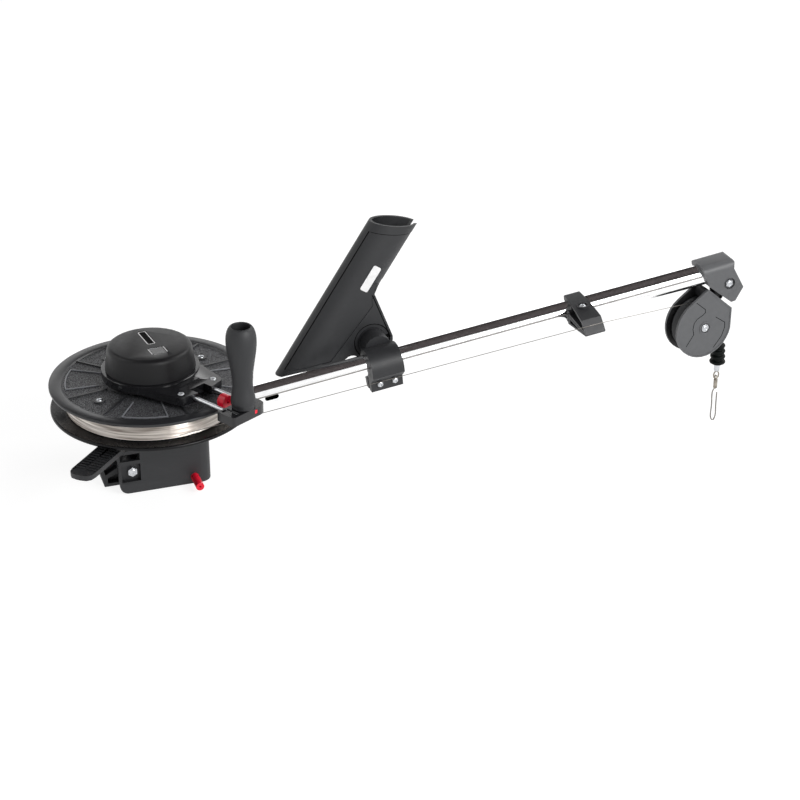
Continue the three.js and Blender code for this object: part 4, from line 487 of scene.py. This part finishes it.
def ease_knob(maker):
    """Lifts the knob's seat a hair off the holder that turns against it."""
    for vertex in maker.verts:
        place = holder_frame.inverted() @ vertex.co / MM
        if abs(place.y - KNOB["seat"]) < KNOB["band"] and math.hypot(place.x, place.z) > KNOB["bore"]:
            place.y += KNOB["lift"]
            vertex.co = holder_frame @ (place * MM)
    return maker


# The holder's ring round the post, and the steps round its sunk panel: limits of what is shaded
RING = {"inner": 21, "outer": 27, "near": 0.5, "far": 1.5}
STEP = {"slope": 0.35, "height": 1.3, "area": 90, "sunk": 0.2, "lowest": -30}


def holder_face():
    """The near face of the rod holder in its own frame, in millimetres."""
    return (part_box("rod_holder")[0].y - BOOM_ORIGIN.y) / MM


def shade_steps(maker):
    """Paints shade: gives the second material, a near-black, to the low steps round the sunk panel and the
    ring round the post.
    """
    near = holder_face()
    for face in maker.faces:
        depths = [vertex.co.y for vertex in face.verts]
        middle = holder_frame.inverted() @ face.calc_center_median() / MM
        sunk, reach = middle.y - near, math.hypot(middle.x, middle.z)
        ring = RING["inner"] < reach < RING["outer"] and RING["near"] < sunk < RING["far"]
        low = max(depths) - min(depths) < STEP["height"] * MM
        small = face.calc_area() < STEP["area"] * MM * MM
        wall = abs(face.normal.y) < STEP["slope"] and low and small and sunk > STEP["sunk"]
        if ring or wall and middle.z > STEP["lowest"]:
            face.material_index = 1


# Second materials by node: the web's stipple with painted glints, and painted shade inside the pulley
# cheeks and round the holder's panel
SECOND_FINISHES_AND_SHADES = {
    "upper_flange": (stipple_web, stippled_nylon),
    "pulley_cheek_near": (shade_cheek_insides, shaded_cheek_abs),
    "pulley_cheek_far": (shade_cheek_insides, shaded_cheek_abs),
    "rod_holder": (shade_steps, groove_shade_and_plate_black),
}
RESHAPED = {"end_cap": square_crown, "rod_holder": trim_gusset, "rod_holder_bolt": ease_knob}

# Radius of the worn edges in millimetres, where it isn't the plain one
WORN_EDGES = {
    0.0: ("wire_run", "wire_over_pulley", "wire_inner_layers", "swivel_eye", "swivel_link", "snap_hook"),
    0.1: ("counter_window",),
    0.3: ("rod_holder", "upper_flange", "lower_flange"),
    0.5: ("line_stopper", "release_button", "lock_pin"),
    0.6: ("guide_arm", "guide_jaw", "pulley_cheek_near", "pulley_cheek_far", "pulley_neck"),
    0.8: ("frame", "mount_foot", "release_lever", "dome_cap"),
    0.9: ("crank_hub",),
    1.0: ("clamp_body",),
    1.2: ("end_cap", "handle_plate"),
}
worn_of = {node: width for width, names in WORN_EDGES.items() for node in names}
replaced_by_hand = {"wire_winding", "boom_tube", "grip"}
for node in nodes:
    if node not in replaced_by_hand:
        dressed(node)


# Boom tube: polished, with the open slot near the spool

BOOM = {"radius": 15.875, "wall": 1.65, "start": -9.7, "end": 853.7, "lip": 0.3, "steps": 128}
SLOT = {"from": 160.6, "to": 172.7, "radius": 4, "steps": 32}


def make_boom():
    """The tube with its two lips, its slot and its bore, darkened as painted shade."""
    outer, inner = BOOM["radius"], BOOM["radius"] - BOOM["wall"]
    start, end, lip = BOOM["start"], BOOM["end"], BOOM["lip"]
    profile = ((inner, start), (outer - lip, start), (outer, start + lip), (outer, end - lip),
               (outer - lip, end), (inner, end))
    tube = turned(profile, BOOM["steps"], closed=True)
    bmesh.ops.transform(tube, matrix=quarter_turn("Y"), verts=tube.verts)
    cutter = bmesh.new()
    for along in (SLOT["from"], SLOT["to"]):
        for across in (-1.5 * outer, -0.5 * outer):
            bmesh.ops.create_circle(cutter, cap_ends=False, segments=SLOT["steps"],
                                    radius=SLOT["radius"] * MM,
                                    matrix=shifted(along, across, 0) @ quarter_turn("X"))
    bmesh.ops.delete(cutter, geom=cutter.edges[:], context="EDGES_FACES")
    bmesh.ops.convex_hull(cutter, input=cutter.verts)
    tube = carved(tube, cutter)
    for face in tube.faces:
        middle = face.calc_center_median()
        if math.hypot(middle.y, middle.z) < (outer - BOOM["wall"] / 2) * MM:
            face.material_index = 1
    bmesh.ops.transform(tube, matrix=boom_frame, verts=tube.verts)
    piece = make_piece("boom_tube_polished", tube, body_of["boom_tube"], stainless, ("boom_tube",))
    piece.data.materials.append(shaded_tube_bore)


make_boom()


# Grip: moulded rubber with a swelling upper half and an open top

GRIP_PROFILE = (
    (4.3, 54.8), (15.0, 54.8), (15.4, 55.2), (15.5, 59.6), (15.9, 60.6), (16.4, 61.4), (16.4, 67),
    (15.6, 72), (14.2, 79), (13.4, 86), (13.3, 92), (13.8, 100), (15, 110), (16.9, 121), (18.7, 132),
    (19.9, 142), (20.25, 150), (19.8, 157), (18.6, 162.6), (16.8, 166.8), (14.9, 169.2), (13.6, 170),
    (12.7, 169.7), (12.4, 168.8), (12.4, 163), (12.2, 128.5), (4.3, 128.5),
)
GRIP_STEPS = 32


def make_grip():
    """The grip on its bolt, with its rounds smoothed."""
    grip = turned(GRIP_PROFILE, GRIP_STEPS, closed=True)
    low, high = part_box("grip")
    place = Vector(((low.x + high.x) / 2, (low.y + high.y) / 2, spool_axis.z))
    bmesh.ops.transform(grip, matrix=Matrix.Translation(place), verts=grip.verts)
    piece = make_piece("grip_moulded", grip, "grip", grip_rubber, ("grip",))
    rounds = piece.modifiers.new("rounds", "SUBSURF")
    rounds.levels = rounds.render_levels = 1


make_grip()


# Screw heads: domed and bright, each with a socket. The outline is in shares of radius and height

PAN_HEAD = ((0, 0.45), (0.405, 0.45), (0.45, 0.9), (0.504, 1), (0.7, 0.92), (0.92, 0.65), (1, 0.3), (1, 0),
            (0, 0))
PAN_STEPS = 32


def screw_head(name, node, place, axis, radius, height):
    """A pan head over the end of a fastener; place is the seat's centre."""
    head = turned([(radius * out, height * up) for out, up in PAN_HEAD], PAN_STEPS)
    make_piece(name, placed(head, place, axis), body_of[node], zinc)


# Dome: two white index lines beside the counter window

COUNTER = Vector((3.2, -24.5))
INDEX = {"aside": 10.6, "width": 1.1, "length": 17, "thick": 0.12, "sunk": 0.02}


def dome_top():
    """Height of the dome's top over the spool's place, in millimetres."""
    return (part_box("dome_cap")[1].z - spool_axis.z) / MM


def make_dome_marks():
    maker = bmesh.new()
    for side in (-1, 1):
        place = shifted(COUNTER.x + side * INDEX["aside"], COUNTER.y, dome_top() - INDEX["sunk"])
        plate(maker, dome_frame @ place, INDEX["width"], INDEX["length"], INDEX["thick"])
    make_piece("counter_index_lines", maker, body_of["dome_cap"], white_print)


# Pulley head: engraved panel lines on both cheeks, drawn as painted shade

PANEL_LINES = (
    ((-12.3, 45.8), (2.6, 29.5), (1.9, 25.2), (-3.1, 21.9), (-12.4, 18.8), (-17.9, 13.6),
     (-20.8, 4.5), (-19.8, -4.5), (-33.9, -20.3)),
    ((19.6, 11.8), (34.2, -1.5), (33.4, -10), (27.5, -22), (12.4, -36.5)),
)


# A cheek's outer face with the depth of its panel, and the size of the line
CHEEK = {"face": 17, "sunk": 0.65}
GROOVE = {"width": 0.9, "depth": 0.12}


def engraved(maker, matrix, points, width, depth):
    """A thin groove line, drawn as a dark inlay of width millimetres along the points: painted shade of the
    groove.
    """
    for start, end in zip(points, points[1:]):
        a, b = Vector(start), Vector(end)
        middle, along = (a + b) / 2, b - a
        slope = Matrix.Rotation(-math.atan2(along.y, along.x), 4, "Y")
        place = matrix @ shifted(middle.x, 0, middle.y) @ slope @ quarter_turn("X")
        plate(maker, place, along.length + width, width, depth)


def make_panel_lines():
    """The lines of both cheeks, each inlay just outside its panel."""
    for side, node in ((-1, "pulley_cheek_near"), (1, "pulley_cheek_far")):
        maker = bmesh.new()
        back = GROOVE["depth"] if side > 0 else 0
        face = shifted(0, side * (CHEEK["face"] - CHEEK["sunk"]) + back, 0)
        for points in PANEL_LINES:
            engraved(maker, head_frame @ face, points, GROOVE["width"], GROOVE["depth"])
        bmesh.ops.recalc_face_normals(maker, faces=maker.faces)
        make_piece(node + "_shade_lines", maker, body_of[node], groove_shade_and_plate_black)


# Rod holder: the bare label plate on its flat near face

LABEL = {"along": 79.4, "up": 54, "length": 40, "height": 12.5, "sunk": 0.7, "thick": 0.4, "corner": 2.5}


def make_label():
    place = holder_frame @ shifted(LABEL["along"], holder_face() + LABEL["sunk"], LABEL["up"])
    label = bmesh.new()
    plate(label, place @ quarter_turn("X"), LABEL["length"], LABEL["height"], LABEL["thick"],
          LABEL["corner"])
    make_piece("bare_label", label, "rod_holder", white_print)


# Rod holder: painted shade as dark lines round its sunk panel, along the gusset and round the post

SOCKET = {"up": 59.7, "centre": 59.5, "half_depth": 31.8, "half_width": 23.5, "mouth": 162.9,
          "lean": 0.4664}
LINES = {"sunk": 0.7, "top": 13.4, "left": 88.1, "right": 31.4, "foot": -96, "knee": 84, "width": 1.5,
         "thick": 0.3, "steps": 24}
GUSSET_LINE = ((59.5, 37.9), (17.4, -21.4))
POST_LINE = {"radius": 26.1, "sunk": 0.95, "width": 1.6, "thick": 0.2, "steps": 36}


def inlay(maker, points, normals, width, thick):
    """A thin strip along points on a face, with the face's normal at each point."""
    rings = []
    for i, (point, normal) in enumerate(zip(points, normals)):
        along = points[min(i + 1, len(points) - 1)] - points[max(i - 1, 0)]
        side = normal.cross(along).normalized() * width / 2
        rise = normal * thick / 2
        corners = (point - side - rise, point + side - rise, point + side + rise, point - side + rise)
        rings.append([maker.verts.new(holder_frame @ (corner * MM)) for corner in corners])
    for first, second in zip(rings, rings[1:]):
        for i in range(4):
            maker.faces.new((first[i], first[(i + 1) % 4], second[(i + 1) % 4], second[i]))
    maker.faces.new(rings[0])
    maker.faces.new(reversed(rings[-1]))


def on_socket(along, up):
    """A point of the oval socket's sunk side and its normal, in the holder's frame."""
    deep, wide = SOCKET["half_depth"] - LINES["sunk"], SOCKET["half_width"] - LINES["sunk"]
    share = (up - SOCKET["up"]) / deep
    across = -wide * math.sqrt(1 - share * share)
    normal = Vector((0, across / wide ** 2, share / deep)).normalized()
    return Vector((along, SOCKET["centre"] + across, up)), normal


def make_holder_lines():
    """The border of the sunk panel, the line along the gusset and the ring round the post, as painted
    groove shade.
    """
    maker = bmesh.new()
    steps, width, thick = LINES["steps"], LINES["width"], LINES["thick"]
    ups = [LINES["left"] + (LINES["right"] - LINES["left"]) * i / steps for i in range(steps + 1)]
    tops = [SOCKET["mouth"] - LINES["top"] - SOCKET["lean"] * (up - SOCKET["up"]) for up in ups]
    border = [on_socket(LINES["foot"], ups[0])] + [on_socket(*place) for place in zip(tops, ups)]
    border.append(on_socket(LINES["knee"], ups[-1]))
    inlay(maker, [point for point, normal in border], [normal for point, normal in border], width, thick)
    near, facing = holder_face(), Vector((0, -1, 0))
    gusset = [Vector((along, near, up)) for along, up in GUSSET_LINE]
    inlay(maker, gusset, [facing] * len(gusset), width, thick)
    turns = [2 * math.pi * i / POST_LINE["steps"] for i in range(POST_LINE["steps"] + 1)]
    ring = [Vector((POST_LINE["radius"] * math.cos(turn), near + POST_LINE["sunk"],
                    POST_LINE["radius"] * math.sin(turn))) for turn in turns]
    inlay(maker, ring, [facing] * len(ring), POST_LINE["width"], POST_LINE["thick"])
    bmesh.ops.recalc_face_normals(maker, faces=maker.faces)
    make_piece("holder_panel_lines", maker, "rod_holder", groove_shade_and_plate_black)


# Upper flange: raised sector outlines on the stippled web, each of two spokes and six chords of an arc

SECTOR = {"first": 73, "count": 4, "half_angle": 15, "chords": 6}
SPOKE = {"middle": 93, "length": 44}
RIDGE = {"width": 1.6, "height": 1.5, "arc": 115, "overlap": 0.8, "worn": 0.3, "foot": 2.5}


def make_web_outlines():
    web = Matrix.Translation((0, 0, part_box("upper_flange")[0].z + RIDGE["foot"] * MM))
    maker = bmesh.new()
    half, chord = SECTOR["half_angle"], math.radians(2 * SECTOR["half_angle"] / SECTOR["chords"])
    for number in range(SECTOR["count"]):
        middle = math.radians(SECTOR["first"] + 360 / SECTOR["count"] * number)
        for side in (-1, 1):
            turn = Matrix.Rotation(middle + side * math.radians(half), 4, "Z")
            plate(maker, web @ turn @ shifted(SPOKE["middle"], 0, 0), SPOKE["length"], RIDGE["width"],
                  RIDGE["height"])
        for step in range(SECTOR["chords"]):
            turn = Matrix.Rotation(middle - math.radians(half) + chord * (step + 0.5), 4, "Z")
            plate(maker, web @ turn @ shifted(RIDGE["arc"], 0, 0), RIDGE["width"],
                  RIDGE["arc"] * chord + RIDGE["overlap"], RIDGE["height"])
    # The ridges are drawn paler than the web, a painted highlight
    make_piece("web_outlines", maker, "spool", ridge_highlight_acetal, worn=RIDGE["worn"])


# Rims: smooth rounded beads round both flanges

UPPER_RIM = (
    (130, -0.02), (136, -0.02), (136.9, 0.5), (137.3, 1.4), (137.3, 3.0), (136.9, 3.9), (136.1, 4.35),
    (121.8, 4.35), (121.2, 4.1), (120.9, 3.5), (120.8, 2.4), (130, 2.4),
)
LOWER_RIM = (
    (130, 0.5), (135.5, -0.02), (136.7, 0.3), (137.3, 1.2), (137.3, 3.0), (137, 3.9), (136.3, 4.6),
    (135.4, 4.9), (134.6, 4.7), (133.9, 4.3), (122, 4.25), (122, 3),
)
RIM_STEPS = 180


def make_rim(node, profile, material):
    rim = turned(profile, RIM_STEPS, closed=True)
    place = Vector((spool_axis.x, spool_axis.y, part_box(node)[0].z))
    bmesh.ops.transform(rim, matrix=Matrix.Translation(place), verts=rim.verts)
    make_piece(node + "_rim", rim, "spool", material)


# Wire guide, clamp, crank and spool: the bright ends of their fasteners, with radius and height

UP, NEAR = (0, 0, 1), (0, -1, 0)
BRIGHT_ENDS = (
    (("flange_screw_1", "flange_screw_2", "flange_screw_3", "flange_screw_4"), UP, 4.3, 1.7),
    (("arm_screw_near", "arm_screw_far"), UP, 4.2, 1.6),
    (("clamp_screw_inner", "clamp_screw_outer"), NEAR, 3.9, 1.8),
    (("end_cap_bolt",), NEAR, 4.8, 1.8),
    (("pulley_axle",), -pulley_axis, 4.6, 1.6),
    (("guide_bolt",), swivel_axis, 4.4, 1.6),
    (("pivot_bolt",), NEAR, 4.6, 1.2),
)
SEATED = 0.1


def end_of(node, axis):
    """The middle of the node's end face that looks along axis."""
    points = [vertex.co for vertex in nodes[node].data.vertices]
    reach = max(point.dot(axis) for point in points)
    tips = [point for point in points if point.dot(axis) > reach - CLOSE]
    low = Vector([min(point[i] for point in tips) for i in range(3)])
    high = Vector([max(point[i] for point in tips) for i in range(3)])
    return (low + high) / 2


def make_bright_ends():
    for names, direction, radius, height in BRIGHT_ENDS:
        axis = Vector(direction).normalized()
        for node in names:
            place = end_of(node, axis) - axis * SEATED * MM
            screw_head(node + "_head", node, place, axis, radius, height)


# Boom tube: a dark line along its near side, a painted reflection

REFLECTED_LINE = {"from": 70, "to": 826, "angle": 12, "width": 1.9, "thick": 0.3, "sunk": 0.25}


def make_painted_reflection_line():
    line_strip = bmesh.new()
    turn = Matrix.Rotation(math.radians(-REFLECTED_LINE["angle"]), 4, "X")
    place = shifted((REFLECTED_LINE["from"] + REFLECTED_LINE["to"]) / 2, REFLECTED_LINE["sunk"] - BOOM["radius"], 0)
    plate(line_strip, boom_frame @ turn @ place @ quarter_turn("X"), REFLECTED_LINE["to"] - REFLECTED_LINE["from"], REFLECTED_LINE["width"],
          REFLECTED_LINE["thick"])
    make_piece("painted_reflection_line", line_strip, body_of["boom_tube"], reflection_line_steel)


# Dome: the bare plate sunk in its top, with a white border

BADGE = {"across": 19.7, "width": 11, "length": 42, "sunk": 0.75, "thick": 0.3, "corner": 2.4}
FIELD = {"inset": 2.6, "thick": 0.45, "corner": 1.6}


def make_badge():
    place = dome_frame @ shifted(COUNTER.x, BADGE["across"], dome_top() - BADGE["sunk"])
    border = bmesh.new()
    plate(border, place, BADGE["width"], BADGE["length"], BADGE["thick"], BADGE["corner"])
    make_piece("badge_border", border, body_of["dome_cap"], white_print)
    field = bmesh.new()
    plate(field, place, BADGE["width"] - FIELD["inset"], BADGE["length"] - FIELD["inset"], FIELD["thick"],
          FIELD["corner"])
    # The sunk field uses the near-black that paints the groove shade
    make_piece("badge_field", field, body_of["dome_cap"], groove_shade_and_plate_black)


make_dome_marks()
make_panel_lines()
make_label()
make_holder_lines()
make_badge()
make_web_outlines()
make_rim("upper_flange", UPPER_RIM, rim_acetal)
make_rim("lower_flange", LOWER_RIM, worn_and_shaded_acetal)
make_bright_ends()
make_painted_reflection_line()


# Winding: the top layer of wire, loop beside loop

WINDING = {"wire": 0.5, "loops": 29, "eased": 0.1, "steps": 72, "sides": 8}


def make_winding():
    """One helix of wire from the lower to the upper flange."""
    low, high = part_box("wire_winding")
    wire, loops, steps = WINDING["wire"] * MM, WINDING["loops"], WINDING["steps"]
    radius = high.x - spool_axis.x - wire - WINDING["eased"] * MM
    start = Matrix.Translation((radius, 0, low.z + wire)) @ quarter_turn("X")
    pitch = (high.z - low.z - 2 * wire) / loops
    maker = bmesh.new()
    ring = bmesh.ops.create_circle(maker, cap_ends=False, segments=WINDING["sides"], radius=wire,
                                   matrix=start)
    edges = {edge for vertex in ring["verts"] for edge in vertex.link_edges}
    bmesh.ops.spin(maker, geom=list(edges), cent=(0, 0, 0), axis=(0, 0, 1), angle=2 * math.pi * loops,
                   steps=steps * loops, dvec=(0, 0, pitch / steps), use_merge=False, use_duplicate=False)
    ends = [edge for edge in maker.edges if edge.is_boundary]
    bmesh.ops.holes_fill(maker, edges=ends, sides=0)
    bmesh.ops.recalc_face_normals(maker, faces=maker.faces)
    make_piece("wire_top_layer", maker, "spool", wire_steel, ("wire_winding",))


make_winding()


# Studio, in metres: a white sweep that falls under the hanging snap, a dark ceiling and four lamps

SWEEP = {"left": -9, "start": 0.09, "end": 0.86, "right": 10, "fall": 0.08, "near": -8, "depth": 18,
         "steps": 48}
PAPER = {"white_share": 0.7, "white": 1.22}
CEILING = {"aside": 0.3, "middle": 2.65, "height": 3, "width": 9, "length": 8.7, "thick": 0.02}
WORLD = {"on_surfaces": 0.34, "seen": 1.0}
LAMPS = (
    ("soft_box_left", (-1.6, 0.9, 2.4), (0.1, 0, 0.1), (1.6, 1.6), 16),
    ("soft_box_right", (2.6, 0.5, 2.3), (0.6, 0, 0.1), (1.6, 1.6), 38),
    ("soft_box_front", (1.5, -2.3, 1.5), (0.3, 0, 0.1), (1.6, 1.2), 68),
    ("strip_behind", (1.1, 3.0, 1.45), (0.3, 0, 0.1), (4.0, 0.8), 15),
)


def white_seen(tree):
    """Light Path factor: one where a camera, glossy or clear ray meets the surface."""
    path = add(tree, "ShaderNodeLightPath")
    first = add(tree, "ShaderNodeMath", {"operation": "MAXIMUM"}, i0=path.outputs["Is Camera Ray"],
                i1=path.outputs["Is Glossy Ray"])
    return add(tree, "ShaderNodeMath", {"operation": "MAXIMUM"}, i0=first.outputs[0],
               i1=path.outputs["Is Transmission Ray"]).outputs[0]


def sweep_height(x):
    """Height of the sweep at x: level under the foot, falling in a soft S towards the hanging snap."""
    share = min(max((x - SWEEP["start"]) / (SWEEP["end"] - SWEEP["start"]), 0), 1)
    return -SWEEP["fall"] * share * share * (3 - 2 * share)


def studio_form(name, maker, material):
    """A finished bmesh as a thing of the studio."""
    mesh = bpy.data.meshes.new(name)
    maker.to_mesh(mesh)
    maker.free()
    mesh.materials.append(material)
    made = bpy.data.objects.new(name, mesh)
    scene.collection.objects.link(made)
    return made


def white_paper():
    """White paper that looks even and bright to the camera and in reflections."""
    material = bpy.data.materials.new("white_paper")
    material.use_nodes = True
    tree = material.node_tree
    tree.nodes.clear()
    paper = add(tree, "ShaderNodeBsdfDiffuse", Color=linear("f6f6f6"))
    glow = add(tree, "ShaderNodeEmission", Color=linear("ffffff"), Strength=PAPER["white"])
    seen = add(tree, "ShaderNodeMath", {"operation": "MULTIPLY"}, i0=white_seen(tree),
               i1=PAPER["white_share"])
    both = add(tree, "ShaderNodeMixShader", i0=seen.outputs[0], i1=paper.outputs[0], i2=glow.outputs[0])
    add(tree, "ShaderNodeOutputMaterial", Surface=both.outputs[0])
    return material


def make_floor():
    maker = bmesh.new()
    start, length, steps = SWEEP["start"], SWEEP["end"] - SWEEP["start"], SWEEP["steps"]
    places = [SWEEP["left"]] + [start + length * i / steps for i in range(steps + 1)] + [SWEEP["right"]]
    near = [maker.verts.new((x, SWEEP["near"], sweep_height(x))) for x in places]
    edges = [maker.edges.new(pair) for pair in zip(near, near[1:])]
    moved = bmesh.ops.extrude_edge_only(maker, edges=edges)
    far = [item for item in moved["geom"] if isinstance(item, bmesh.types.BMVert)]
    bmesh.ops.translate(maker, verts=far, vec=(0, SWEEP["depth"], 0))
    bmesh.ops.recalc_face_normals(maker, faces=maker.faces)
    for face in maker.faces:
        face.smooth = True
    floor = studio_form("floor", maker, white_paper())


def make_ceiling():
    """A dark studio ceiling, whose reflection draws the dark band along the polished tube."""
    maker = bmesh.new()
    place = Matrix.Translation((CEILING["aside"], CEILING["middle"], CEILING["height"]))
    size = Matrix.Diagonal((CEILING["width"], CEILING["length"], CEILING["thick"], 1))
    bmesh.ops.create_cube(maker, size=1, matrix=Matrix.Rotation(-CAMERA_AZIMUTH, 4, "Z") @ place @ size)
    material, tree, shader, where = new_material("dark_ceiling")
    shader.inputs["Base Color"].default_value = linear("514c4c")
    shader.inputs["Roughness"].default_value = 1
    shader.inputs["Specular IOR Level"].default_value = 0
    ceiling = studio_form("ceiling", maker, material)


def make_world():
    """White all round: bright where it is seen, soft where it lights a surface."""
    world = bpy.data.worlds.new("studio")
    scene.world = world
    world.use_nodes = True
    tree = world.node_tree
    tree.nodes.clear()
    seen = white_seen(tree)
    strength = add(tree, "ShaderNodeMapRange", i0=seen, i3=WORLD["on_surfaces"], i4=WORLD["seen"])
    back = add(tree, "ShaderNodeBackground", Color=linear("ffffff"), Strength=strength.outputs[0])
    add(tree, "ShaderNodeOutputWorld", Surface=back.outputs[0])


def make_lamp(name, place, target, size, power):
    """A rectangular lamp of power watts that looks at target."""
    data = bpy.data.lights.new(name, "AREA")
    data.shape = "RECTANGLE"
    data.size, data.size_y = size
    data.energy = power
    lamp = bpy.data.objects.new(name, data)
    scene.collection.objects.link(lamp)
    lamp.location = place
    lamp.rotation_euler = (Vector(target) - Vector(place)).to_track_quat("-Z", "Y").to_euler()


make_floor()
make_world()
make_ceiling()
for lamp in LAMPS:
    make_lamp(*lamp)

scene.view_settings.view_transform = "Standard"
